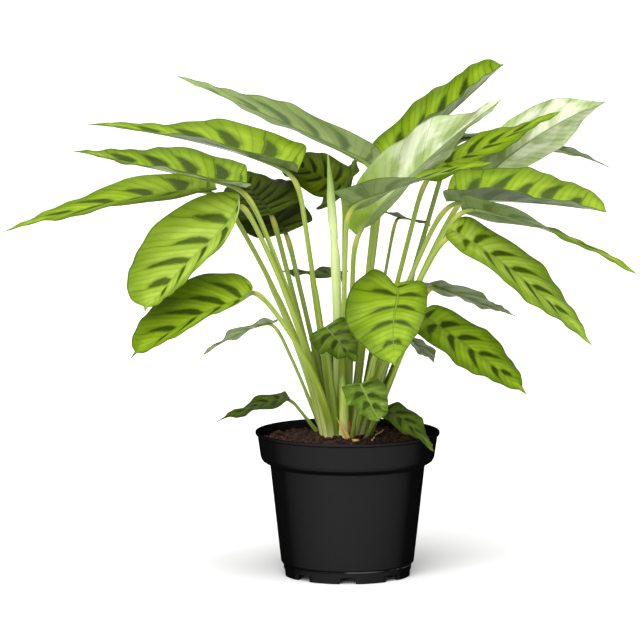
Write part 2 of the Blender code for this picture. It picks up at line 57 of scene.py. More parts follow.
ROOT_BODY = "root"
UV_LAYER = "UVMap"
SEED_ATTRIBUTE = "leaf_seed"
SPOTS_ATTRIBUTE = "spot_count"
SPOT_WIDTH_ATTRIBUTE = "spot_width"
STAGGER_ATTRIBUTE = "stagger"
# How near two points of a closed turned skin have to be to become one.
SEAM = 0.000002


def lit(red: int, green: int, blue: int) -> Colour:
    """An sRGB colour of 0 to 255 as the linear colour that a material takes."""
    channels = [value / 255 for value in (red, green, blue)]
    return (*(c / 12.92 if c <= 0.04045 else ((c + 0.055) / 1.055) ** 2.4 for c in channels), 1.0)


def smooth_step(low: float, high: float, value: float) -> float:
    """0 below low, 1 above high, and an even rise between them."""
    share = min(max((value - low) / (high - low), 0.0), 1.0)
    return share * share * (3 - 2 * share)


def spline(values: Sequence[float | Vector], where: float) -> float | Vector:
    """A smooth value between the listed ones.

    Args:
        values: numbers or vectors.
        where: a place in the list, where whole numbers lie on its values.

    Returns:
        The value at that place.
    """
    last = len(values) - 1
    index = min(int(where), last - 1)
    t = where - index
    a, b = values[max(index - 1, 0)], values[index]
    c, d = values[index + 1], values[min(index + 2, last)]
    return 0.5 * (b * 2 + (c - a) * t + (a * 2 - b * 5 + c * 4 - d) * t**2 + (b * 3 - a - c * 3 + d) * t**3)


def heading(points: Sequence[Vector], where: float) -> Vector:
    """The way from the listed point before a place to the one after it."""
    index = min(int(where), len(points) - 2)
    return (points[index + 1] - points[index]).normalized()


def hump(value: float, height: float, middle: float, breadth: float) -> float:
    """The height at the middle, and smoothly less away from it."""
    return height * math.exp(-(((value - middle) / breadth) ** 2))


def rounded(share: float, first: float, last: float) -> float:
    """1 along a bar and 0 at its ends, which are rounded over these shares of its length."""
    return math.sqrt(max(0.0, min(1.0, share / first, (1 - share) / last)))


# Modelling tools


def only(*pieces: bpy.types.Object) -> None:
    """Selects some pieces and nothing else, and makes the first the active one.

    Args:
        pieces: the objects.
    """
    bpy.ops.object.select_all(action="DESELECT")
    for piece in pieces:
        piece.select_set(True)
    bpy.context.view_layer.objects.active = pieces[0]


def added(primitive: Callable[..., object], **sizes: float) -> bpy.types.Object:
    """Adds a primitive with nothing else selected.

    Args:
        primitive: the operator that adds it.
        sizes: the operator's settings.

    Returns:
        The new object.
    """
    bpy.ops.object.select_all(action="DESELECT")
    primitive(**sizes)
    return bpy.context.active_object


def edit_all(piece: bpy.types.Object, work: Callable[[], object]) -> None:
    """Runs edit-mode work on the whole mesh of a piece.

    Args:
        piece: the mesh object.
        work: calls the operators, with everything selected.
    """
    only(piece)
    bpy.ops.object.mode_set(mode="EDIT")
    bpy.ops.mesh.select_all(action="SELECT")
    work()
    bpy.ops.mesh.select_all(action="DESELECT")
    bpy.ops.object.mode_set(mode="OBJECT")


def turn_out(piece: bpy.types.Object) -> None:
    """Turns the faces of a closed mesh outward."""
    edit_all(piece, lambda: bpy.ops.mesh.normals_make_consistent(inside=False))


def weld(piece: bpy.types.Object, distance: float) -> None:
    """Merges the points that lie nearer to each other than the distance, in metres."""
    edit_all(piece, lambda: bpy.ops.mesh.remove_doubles(threshold=distance))


def apply_modifier(piece: bpy.types.Object, name: str) -> None:
    """Applies one modifier to the piece's own mesh."""
    only(piece)
    bpy.ops.object.modifier_apply(modifier=name)


def thicken(piece: bpy.types.Object, thickness: float) -> None:
    """Gives a sheet its wall. Its last material goes on the underside.

    Args:
        piece: the mesh object.
        thickness: the wall, in metres, half of it to each side.
    """
    wall = piece.modifiers.new("wall", "SOLIDIFY")
    wall.thickness = thickness
    wall.offset = 0.0
    wall.material_offset = max(0, len(piece.data.materials) - 1)
    wall.material_offset_rim = 0
    apply_modifier(piece, "wall")


def shade(piece: bpy.types.Object, degrees: float) -> None:
    """Shades a piece smooth, but for edges sharper than the angle."""
    only(piece)
    bpy.ops.object.shade_smooth_by_angle(angle=math.radians(degrees))


def note(piece: bpy.types.Object, name: str, numbers: float | list[float]) -> None:
    """Writes a number on each point of a mesh, for its material to read.

    Args:
        piece: the mesh object.
        name: the attribute's name.
        numbers: one for each point, or one for all of them.
    """
    if not isinstance(numbers, list):
        numbers = [numbers] * len(piece.data.vertices)
    piece.data.attributes.new(name, "FLOAT", "POINT").data.foreach_set("value", numbers)


def wrapped_grid(name: str, cells: Cells, place: Callable[[float, float], Spot]) -> bpy.types.Object:
    """A grid whose points are moved to a surface.

    Args:
        name: the object's name.
        cells: how many cells lie across and along.
        place: takes the grid's across and along, each 0 to 1, and gives the point and its UV.

    Returns:
        The mesh object, at the origin.
    """
    columns, rows = cells
    piece = added(bpy.ops.mesh.primitive_grid_add, x_subdivisions=columns, y_subdivisions=rows, size=2.0)
    piece.name = name
    piece.data.name = name
    spots = []
    for vert in piece.data.vertices:
        point, across, along = place((vert.co.x + 1) / 2, (vert.co.y + 1) / 2)
        vert.co = point
        spots.append((across, along))
    layer = piece.data.uv_layers[0]
    layer.name = UV_LAYER
    for loop in piece.data.loops:
        layer.data[loop.index].uv = spots[loop.vertex_index]
    return piece


def tube(
    name: str,
    cells: Cells,
    ring: Callable[[float, float], Vector],
    along: Callable[[float], float] = lambda share: share,
) -> bpy.types.Object:
    """A closed bar: a grid rolled up, with its seam and both ends welded.

    Args:
        name: the object's name.
        cells: how many cells go round and along.
        ring: takes the angle and the share of the length, and gives the point. Its radius is 0 at
            both ends.
        along: turns the share of the length into the UV map's second number.

    Returns:
        The mesh object, at the origin.
    """

    def place(across: float, share: float) -> Spot:
        """A point of the rolled grid."""
        return ring(across * math.tau, share), across, along(share)

    piece = wrapped_grid(name, cells, place)
    weld(piece, SEAM)
    turn_out(piece)
    return piece


def hand_over(piece: bpy.types.Object, slot: str, *nodes: str) -> None:
    """Gives a finished piece its body, and hides the CAD nodes that it stands for.

    Args:
        piece: the mesh object.
        slot: the record's material slot; not used.
        nodes: the CAD nodes that it stands for.
    """
    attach(piece, ROOT_BODY)
    if nodes:
        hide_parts(*nodes)
    LOG.info("%s: %d faces", piece.name, len(piece.data.polygons))


# Finishes


class Signal:
    """One output of a node, which can be reckoned with as a number can."""

    def __init__(self, sketch: "NodeSketch", socket: bpy.types.NodeSocket) -> None:
        """Holds the output, and the sketch that new nodes go into."""
        self.sketch = sketch
        self.socket = socket

    def __add__(self, other: "Value") -> "Signal":
        """The sum."""
        return self.sketch.math("ADD", self, other)

    def __sub__(self, other: "Value") -> "Signal":
        """The difference."""
        return self.sketch.math("SUBTRACT", self, other)

    def __rsub__(self, other: float) -> "Signal":
        """What is left of a number when this is taken away."""
        return self.sketch.math("SUBTRACT", other, self)

    def __mul__(self, other: "Value") -> "Signal":
        """The product."""
        return self.sketch.math("MULTIPLY", self, other)

    def __pow__(self, other: float) -> "Signal":
        """The power."""
        return self.sketch.math("POWER", self, other)

    def __abs__(self) -> "Signal":
        """The number without its sign."""
        return self.sketch.math("ABSOLUTE", self)

    def between(self, low: float, high: float) -> "Signal":
        """The low number where this is 0, the high one where it is 1, and evenly between them."""
        return self * (high - low) + low


Value = float | Signal
Paint = Colour | Signal


class NodeSketch:
    """Lays the nodes of one material, each with a short call."""

    def __init__(self, name: str) -> None:
        """Starts a material with a Principled shader.

        Args:
            name: the material's name.
        """
        self.material = bpy.data.materials.new(name)
        self.material.use_nodes = True
        self.tree = self.material.node_tree
        self.shader = self.tree.nodes["Principled BSDF"]

    def set(self, socket: bpy.types.NodeSocket, value: Value | Paint) -> None:
        """Links a socket to a signal, or sets its own value.

        Args:
            socket: a node's input.
            value: the signal, number or colour.
        """
        if isinstance(value, Signal):
            self.tree.links.new(value.socket, socket)
        else:
            socket.default_value = value

    def node(self, kind: str, inputs: dict, output: int | str = 0, **options: str | bool) -> Signal:
        """Adds one node.

        Args:
            kind: the end of its type's name.
            inputs: what goes into its inputs, by number or name.
            output: the output that is read.
            options: its other settings.

        Returns:
            The output.
        """
        node = self.tree.nodes.new("ShaderNode" + kind)
        for option, value in options.items():
            setattr(node, option, value)
        for key, value in inputs.items():
            self.set(node.inputs[key], value)
        return Signal(self, node.outputs[output])

    def math(self, operation: str, *values: Value, clamp: bool = False) -> Signal:
        """The result of one sum, kept between 0 and 1 if asked."""
        return self.node("Math", dict(enumerate(values)), operation=operation, use_clamp=clamp)

    def mix(self, share: Value, first: Paint, second: Paint, blend: str = "MIX") -> Signal:
        """Two colours mixed, with a share of the second."""
        return self.node("Mix", {0: share, 6: first, 7: second}, 2, data_type="RGBA", blend_type=blend)

    def coats(self, colour: Paint, *coats: tuple[Value, Paint]) -> Paint:
        """A colour with others laid over it.

        Args:
            colour: the ground.
            coats: the share and the colour of each coat, in order.

        Returns:
            The colour that shows.
        """
        for share, paint in coats:
            colour = self.mix(share, colour, paint)
        return colour

    def clouded(self, colour: Paint, cloud: Signal, share: float, dark: int, light: int) -> Signal:
        """A colour made darker and lighter by a cloud, between two greys of 0 to 255."""
        greys = self.mix(cloud, lit(dark, dark, dark), lit(light, light, light))
        return self.mix(share, colour, greys, "SOFT_LIGHT")

    def rise(self, value: Value, low: Value, high: Value, top: float = 1.0) -> Signal:
        """0 where the value is under low, top where it is over high, and an even rise between them."""
        ends = dict(enumerate((value, low, high, 0.0, top)))
        return self.node("MapRange", ends, interpolation_type="SMOOTHSTEP")

    def fall(self, value: Value, low: Value, high: Value) -> Signal:
        """1 where the value is under low, and 0 where it is over high."""
        return 1.0 - self.rise(value, low, high)

    def split(self, vector: Signal) -> list[Signal]:
        """The three numbers of a vector."""
        first = self.node("SeparateXYZ", {0: vector})
        return [Signal(self, socket) for socket in first.socket.node.outputs]

    def join(self, *values: Value) -> Signal:
        """A vector of three numbers."""
        return self.node("CombineXYZ", dict(enumerate(values)))

    def uv(self) -> list[Signal]:
        """The piece's own UV map as its two numbers."""
        return self.split(self.node("UVMap", {}, uv_map=UV_LAYER))[:2]

    def around(self, width: float, length: float, shift: Value = 0.0) -> Signal:
        """The place on a bar's skin, for streaks that run along it and close round it.

        Args:
            width: the circle's radius, which sets how narrow the streaks are.
            length: the bar's length, which sets how short they are.
            shift: how far the pattern is moved along.

        Returns:
            The vector.
        """
        across, along = self.uv()
        turn = across * math.tau
        return self.join(
            self.math("COSINE", turn) * width, self.math("SINE", turn) * width, along * length + shift
        )

    def place(self) -> Signal:
        """The point's place on the piece."""
        return self.node("TexCoord", {}, "Object")

    def attribute(self, name: str) -> Signal:
        """A number that the mesh holds under that name."""
        return self.node("Attribute", {}, "Fac", attribute_name=name)

    def noise(self, vector: Signal, scale: float, detail: float = 2.0, rough: float = 0.5) -> Signal:
        """Soft noise about 0.5, with so many waves for a unit of the vector, and finer layers."""
        inputs = {"Vector": vector, "Scale": scale, "Detail": detail, "Roughness": rough}
        return self.node("TexNoise", inputs)

    def draw(self, value: Signal) -> Signal:
        """A fixed random number from 0 to 1 for each value."""
        return self.node("TexWhiteNoise", {"W": value}, noise_dimensions="1D")

    def bump(self, height: Signal, distance: float, strength: float) -> None:
        """Gives the shader a fine relief, with its depth in metres."""
        relief = self.node("Bump", {"Height": height, "Distance": distance, "Strength": strength})
        self.set(self.shader.inputs["Normal"], relief)

    def grazing(self) -> Signal:
        """0 where the surface is seen face on, and 1 where it is seen from the side."""
        return self.node("LayerWeight", {}, "Facing")

    def finish(
        self, colour: Paint, roughness: Value, gloss: Value, tint: Colour = (1.0, 1.0, 1.0, 1.0)
    ) -> bpy.types.Material:
        """Sets the shader's main sockets.

        Args:
            colour: the base colour.
            roughness: from 0, polished, to 1, matt.
            gloss: the specular level.
            tint: the colour of the gloss.

        Returns:
            The material.
        """
        self.set(self.shader.inputs["Base Color"], colour)
        self.set(self.shader.inputs["Roughness"], roughness)
        self.set(self.shader.inputs["Specular IOR Level"], gloss)
        self.set(self.shader.inputs["Specular Tint"], tint)
        return self.material


# Where in each beat of the pattern the crisp edge of a spot lies, with its long vein.
SPOT_EDGE = 0.62


class LeafPattern:
    """The masks of a leaf's markings, from the blade's own map.

    row runs from 0 at the joint to 1 at the tip by the side veins, so that a vein has one value of it
    from the midrib to the margin. out is 0 on the midrib and 1 at either margin.
    """

    minor_veins = 4.0
    first_marks = (0.00, 0.15)
    last_marks = (0.74, 0.92)
    # How fine the unevenness is, across and along, and how far it moves and frays the marks, in beats.
    cloud_scale = (2.6, 7.0)
    wander = 0.30
    fray = 0.10
    # What keeps the random draws of the halves, of the marks and of their widths apart.
    half_key = 41.7
    mark_key = 7.31
    width_key = 113.0
    # How bluntly a mark ends: the more, the blunter.
    bluntness = 2.4

    def __init__(self, sketch: NodeSketch) -> None:
        """Lays the nodes that every leaf finish reads.

        Args:
            sketch: the material's nodes.
        """
        self.sketch = sketch
        across, self.row = sketch.uv()
        side = across * 2.0 - 1.0
        self.out = abs(side)
        seed = sketch.attribute(SEED_ATTRIBUTE)
        self.right = sketch.math("GREATER_THAN", side, 0.0)
        self.spot_place = sketch.join(side * self.cloud_scale[0], self.row * self.cloud_scale[1], seed)
        wander = sketch.noise(self.spot_place, 1.0).between(-self.wander / 2, self.wander / 2)
        stagger = self.right * sketch.attribute(STAGGER_ATTRIBUTE)
        self.beat = self.row * sketch.attribute(SPOTS_ATTRIBUTE) + stagger + wander * self.out
        self.part = sketch.math("FRACT", self.beat)
        index = sketch.math("FLOOR", self.beat)
        key = sketch.math("MULTIPLY_ADD", self.right, self.half_key, seed)
        key = sketch.math("MULTIPLY_ADD", index, self.mark_key, key)
        self.chance = sketch.draw(key)
        self.second_chance = sketch.draw(key + self.width_key)

    def spot(self, longest: float, wider: float, soft: float) -> Signal:
        """The dark marks: each starts at the midrib and tapers out along a side vein.

        Args:
            longest: the reach of the longest mark, as a share of the half blade.
            wider: how much wider it is than the leaf's own width of mark.
            soft: how soft its edges are, as a share of a beat.

        Returns:
            The mask.
        """
        s = self.sketch
        ends = s.rise(self.row, *self.first_marks) * s.fall(self.row, *self.last_marks)
        reach = self.chance.between(longest * 0.70, longest) * ends.between(0.55, 1.0)
        share = s.math("DIVIDE", self.out, reach, clamp=True)
        body = (1.0 - share**self.bluntness) * s.rise(share, 0.0, 0.45).between(0.60, 1.0)
        width = self.second_chance.between(0.80, 1.05) * (s.attribute(SPOT_WIDTH_ATTRIBUTE) * wider)
        width = width * body * ends.between(0.65, 1.0)
        fray = s.noise(self.spot_place, 7.0, 3.0).between(-self.fray / 2, self.fray / 2)
        behind = SPOT_EDGE - (self.part + fray)
        faded = s.fall(behind, width - soft, width + soft * 0.3)
        crisp = s.rise(behind, -0.25 * soft, 0.75 * soft)
        return faded * crisp * (s.fall(share, 0.80, 1.0) * s.rise(ends, 0.05, 0.35))

    def long_veins(self) -> Signal:
        """The thin line that runs from each mark's edge out to the margin."""
        return self.sketch.fall(abs(self.part - SPOT_EDGE), 0.004, 0.030)

    def fine_veins(self) -> Signal:
        """The finer lines between them."""
        beat = self.sketch.math("FRACT", self.beat * self.minor_veins)
        return self.sketch.fall(abs(beat - 0.5), 0.01, 0.085)

    def swell(self) -> Signal:
        """0 on a long vein and 1 halfway between two."""
        return self.sketch.math("COSINE", (self.part - SPOT_EDGE) * math.tau) * -0.5 + 0.5

    def quilting(self) -> Signal:
        """0 on a fine vein and 1 halfway between two."""
        return self.sketch.math("COSINE", self.beat * self.minor_veins * math.tau) * 0.5 + 0.5

    def rib(self, width: float) -> Signal:
        """The midrib, which narrows towards the tip."""
        edge = (self.row * -0.55 + 1.0) * width
        return self.sketch.fall(self.out, edge * 0.55, edge)

    def mottle(self, scale: float) -> Signal:
        """Broad soft unevenness about 0.5."""
        return self.sketch.noise(self.spot_place, scale, 3.0)


# The waxy skin throws back a greenish light.
LEAF_SHEEN = (0.80, 1.0, 0.35, 1.0)
LEAF_RELIEF = 0.0002


@dataclass(frozen=True)
class LeafFinish:
    """The colours of one kind of leaf, its upper face and its underside.

    Names that end in share, bands, veins, cloud, green or shade say how strongly something shows, and
    spot_reach, spot_wider and rib_width how large it is. under_bands sets the painted highlight on the
    underside's swells, and one half of the underside is darkened by a painted shade.
    """

    name: str
    body: Colour
    # The painted highlight's colour, laid on the swells between the veins.
    swell_highlight: Colour
    margin: Colour
    spot: Colour
    vein: Colour
    rib: Colour
    under: Colour = lit(136, 154, 100)
    # The underside's lighter colour: its painted highlight on the swells and the quilting, and its soft
    # lighter patches.
    under_light: Colour = lit(164, 180, 128)
    # The underside's darker colour, for its veins and for the painted shadows of the marks.
    under_spot: Colour = lit(100, 116, 78)
    spot_reach: float = 0.86
    spot_wider: float = 1.0
    under_spot_share: float = 0.5
    roughness: float = 0.38
    gloss: float = 0.22
    rib_width: float = 0.036
    vein_share: float = 0.34
    base_green: float = 0.0
    # A painted shade that darkens one half of the underside.
    half_shade: float = 0.0
    under_bands: float = 0.65
    under_veins: float = 0.30
    under_cloud: float = 0.0

    @cache
    def upper(self) -> bpy.types.Material:
        """The upper face: bright, marked with dark strokes, and gently quilted, with a painted highlight on
        its swells.

        Returns:
            The material.
        """
        s = NodeSketch(self.name + "_upper")
        p = LeafPattern(s)
        # Painted highlight: lighter on the swells between the veins and on the quilting, less towards the
        # margin.
        light = p.swell() * s.fall(p.out, 0.35, 1.05) * 0.60 + p.quilting() * 0.25
        fade = s.fall(p.out, 0.6, 1.0).between(0.6, 1.0)
        halo = p.spot(self.spot_reach * 1.15, self.spot_wider * 1.30, 0.22)
        core = p.spot(self.spot_reach, self.spot_wider, 0.09)
        colour = s.coats(
            s.mix(light, self.body, self.swell_highlight),
            (s.rise(p.out, 0.55, 1.0) * 0.55, self.margin),
            (p.fine_veins() * self.vein_share, self.vein),
            (p.long_veins() * (fade * 0.65), self.vein),
            (halo * 0.70, self.margin),
            (core * 0.95, s.mix(p.mottle(3.0) * 0.40, self.spot, self.margin)),
            (p.rib(0.075) * 0.50, self.margin),
            (p.rib(self.rib_width) * 0.90, self.rib),
            (s.rise(p.out, 0.962, 0.988) * 0.85, self.vein),
        )
        colour = s.clouded(colour, p.mottle(1.3), 0.60, 108, 222)
        height = p.fine_veins() * -0.35 + p.long_veins() * -0.8 + p.mottle(14.0) * 0.5
        s.bump(height, LEAF_RELIEF, 0.6)
        rough = p.mottle(2.0).between(self.roughness - 0.08, self.roughness + 0.08)
        return s.finish(colour, rough, self.gloss, LEAF_SHEEN)

    @cache
    def lower(self) -> bpy.types.Material:
        """The underside: pale grey-green, with a painted highlight on its swells and quilting, where the
        marks show through as painted soft shadows.

        Returns:
            The material.
        """
        s = NodeSketch(self.name + "_under")
        p = LeafPattern(s)
        # Painted shadow: the marks of the upper face, as they show through the blade.
        spot_shadow = p.spot(self.spot_reach * 1.1, self.spot_wider, 0.14)
        colour = s.coats(
            self.under,
            # Painted highlight on the swells between the long veins.
            (p.swell() * self.under_bands, self.under_light),
            (s.rise(p.mottle(0.7), 0.38, 0.60) * self.under_cloud, self.under_light),
            # Painted shade: one half of the underside darker.
            ((1.0 - p.right) * self.half_shade, self.under_spot),
            # Painted highlight on the quilting.
            (p.quilting() * 0.14, self.under_light),
            (p.fine_veins() * self.under_veins, self.under_spot),
            (p.long_veins() * self.under_veins, self.under_spot),
            (s.fall(p.row, 0.10, 0.48) * self.base_green, self.body),
            # Painted shadows of the marks.
            (spot_shadow * self.under_spot_share, self.under_spot),
            (p.rib(0.07) * 0.6, self.rib),
            (s.rise(p.out, 0.965, 0.988) * 0.5, self.vein),
        )
        colour = s.clouded(colour, p.mottle(1.1), 0.5, 140, 230)
        s.bump(p.fine_veins() * 0.5 + p.long_veins() * 0.9, LEAF_RELIEF, 0.6)
        return s.finish(colour, self.roughness + 0.12, 0.14, LEAF_SHEEN)


class Look(Enum):
    """The kinds of leaf on the plant, each with its finish. Some are lighter or darker copies of one leaf
    colour, with painted light or shade for how the light falls on each leaf.
    """

    BRIGHT = LeafFinish(
        "leaf_bright",
        body=lit(108, 134, 6),
        swell_highlight=lit(134, 158, 34),
        margin=lit(66, 92, 2),
        spot=lit(34, 50, 6),
        vein=lit(58, 80, 4),
        rib=lit(112, 134, 36),
        under=lit(100, 118, 66),
        under_light=lit(124, 140, 90),
        under_spot=lit(64, 80, 48),
    )
    # Painted light: a lighter copy of the leaf colours, for leaves that the light falls on or shines through
    # more strongly.
    CLEAR = LeafFinish(
        "leaf_brighter_lit",
        body=lit(114, 139, 28),
        swell_highlight=lit(146, 168, 66),
        margin=lit(76, 102, 8),
        spot=lit(34, 50, 8),
        vein=lit(68, 92, 10),
        rib=lit(126, 150, 60),
        under=lit(138, 158, 92),
        under_light=lit(162, 180, 118),
        under_spot=lit(92, 110, 74),
        under_spot_share=0.88,
        gloss=0.30,
    )
    FRESH = LeafFinish(
        "leaf_fresh",
        body=lit(98, 124, 5),
        swell_highlight=lit(128, 154, 32),
        margin=lit(56, 80, 2),
        spot=lit(28, 42, 6),
        vein=lit(48, 68, 4),
        rib=lit(106, 128, 40),
    )
    TENDER = LeafFinish(
        "leaf_tender",
        body=lit(82, 108, 20),
        swell_highlight=lit(122, 146, 58),
        margin=lit(68, 94, 16),
        spot=lit(36, 52, 12),
        vein=lit(64, 90, 18),
        rib=lit(138, 164, 66),
        spot_wider=1.2,
        roughness=0.30,
        gloss=0.50,
        rib_width=0.080,
    )
    SHADED = LeafFinish(
        "leaf_shaded",
        body=lit(64, 84, 14),
        swell_highlight=lit(88, 108, 28),
        margin=lit(46, 64, 8),
        spot=lit(28, 38, 10),
        vein=lit(38, 54, 10),
        rib=lit(98, 116, 46),
        under=lit(94, 108, 66),
        under_light=lit(120, 134, 86),
        under_spot=lit(70, 82, 58),
    )
    # Painted shade: the back leaves, deep green and darkened further for the shade of the leaves in front.
    DEEP_SHADED = LeafFinish(
        "leaf_deep_shaded",
        body=lit(64, 80, 6),
        swell_highlight=lit(92, 110, 16),
        margin=lit(40, 54, 2),
        spot=lit(20, 26, 4),
        vein=lit(30, 40, 4),
        rib=lit(76, 88, 36),
        under=lit(70, 82, 46),
        under_light=lit(88, 100, 60),
        under_spot=lit(48, 58, 36),
        spot_reach=0.95,
        gloss=0.06,
    )
    PALE = LeafFinish(
        "leaf_pale",
        body=lit(104, 130, 20),
        swell_highlight=lit(140, 160, 62),
        margin=lit(80, 108, 14),
        spot=lit(34, 50, 14),
        vein=lit(100, 128, 44),
        rib=lit(140, 162, 84),
        under=lit(138, 158, 92),
        under_light=lit(206, 211, 184),
        under_spot=lit(108, 126, 66),
        under_spot_share=0.45,
        base_green=0.95,
        half_shade=0.30,
        under_bands=0.20,
        under_veins=0.20,
        under_cloud=0.80,
    )


# Along the stalk's map, the joint with the blade lies here, and the rest is the rib.
JOINT_MARK = 0.80


@dataclass(frozen=True)
class StalkFinish:
    """The stalk's skin: pale at the soil, streaked green above, and yellow at the joint."""

    name: str
    base: Colour
    middle: Colour
    top: Colour
    joint: Colour
    rib: Colour
    streak: Colour
    light: Colour

    @cache
    def make(self) -> bpy.types.Material:
        """Lays the nodes.

        Returns:
            The material.
        """
        s = NodeSketch(self.name)
        along = s.uv()[1]
        ring = s.around(2.0, 2.2, s.attribute(SEED_ATTRIBUTE))
        thin = s.noise(ring, 3.6, 3.0, 0.6)
        joint = s.rise(along, JOINT_MARK - 0.055, JOINT_MARK - 0.015)
        joint = joint * s.fall(along, JOINT_MARK - 0.005, JOINT_MARK + 0.015)
        colour = s.coats(
            self.base,
            (s.rise(along, 0.06, 0.20), self.middle),
            (s.rise(along, 0.26, 0.66), self.top),
            (s.rise(s.noise(ring, 1.4, 2.0), 0.42, 0.68, 0.45), self.light),
            (s.rise(thin, 0.50, 0.75, 0.40), self.streak),
            (joint * 0.65, self.joint),
            (s.rise(along, JOINT_MARK, JOINT_MARK + 0.025), self.rib),
        )
        s.bump(thin, LEAF_RELIEF, 0.4)
        return s.finish(colour, 0.42, 0.20, LEAF_SHEEN)


class Stalk(Enum):
    """The kinds of stalk, each with its finish: green, and a darker copy with painted shade."""

    GREEN = StalkFinish(
        "stalk_green",
        base=lit(196, 200, 126),
        middle=lit(118, 136, 34),
        top=lit(128, 146, 56),
        joint=lit(172, 172, 84),
        rib=lit(112, 132, 70),
        streak=lit(94, 112, 20),
        light=lit(180, 194, 120),
    )
    # Painted shade: a darker copy of the green stalk, for the leaves at the back and in shade.
    DEEP_SHADED = StalkFinish(
        "stalk_deep",
        base=lit(136, 146, 74),
        middle=lit(84, 102, 20),
        top=lit(112, 130, 50),
        joint=lit(156, 148, 66),
        rib=lit(86, 100, 52),
        streak=lit(70, 88, 16),
        light=lit(144, 158, 90),
    )


# Leaves

# How far short of the joint the stalk's own curve ends and bends over into the rib.
JOINT_BEND = 0.0045
BASE_SQUARENESS = 0.45
# How far down the midrib the side veins start, for the blade's length, and how much they bow.
RIB_SWEEP = 0.09
VEIN_CURVE = 1.25
# The drawn-out point: its width for the blade's, and where it starts for its length.
DRIP_WIDTH = 0.17
DRIP_START = 2.2
# The row at which the base stops reaching back.
LOBE_END = 0.40
# How much flatter the fold is at the tip, and how far the margin droops for the half width.
FOLD_LOSS = 0.35
MARGIN_DROOP = 0.12
# How far the waves of the halves are out of step, in radians.
WAVE_SHIFT = 1.7
# A blade wider than this is full grown.
LARGE_WIDTH = 0.036
# The width of blade that has the quilting at its full height, and the heights of its swells.
QUILT_WIDTH = 0.05
SWELL_HEIGHT = 0.00085
GRAIN_HEIGHT = 0.0006
RIPPLE_HEIGHT = 0.0007


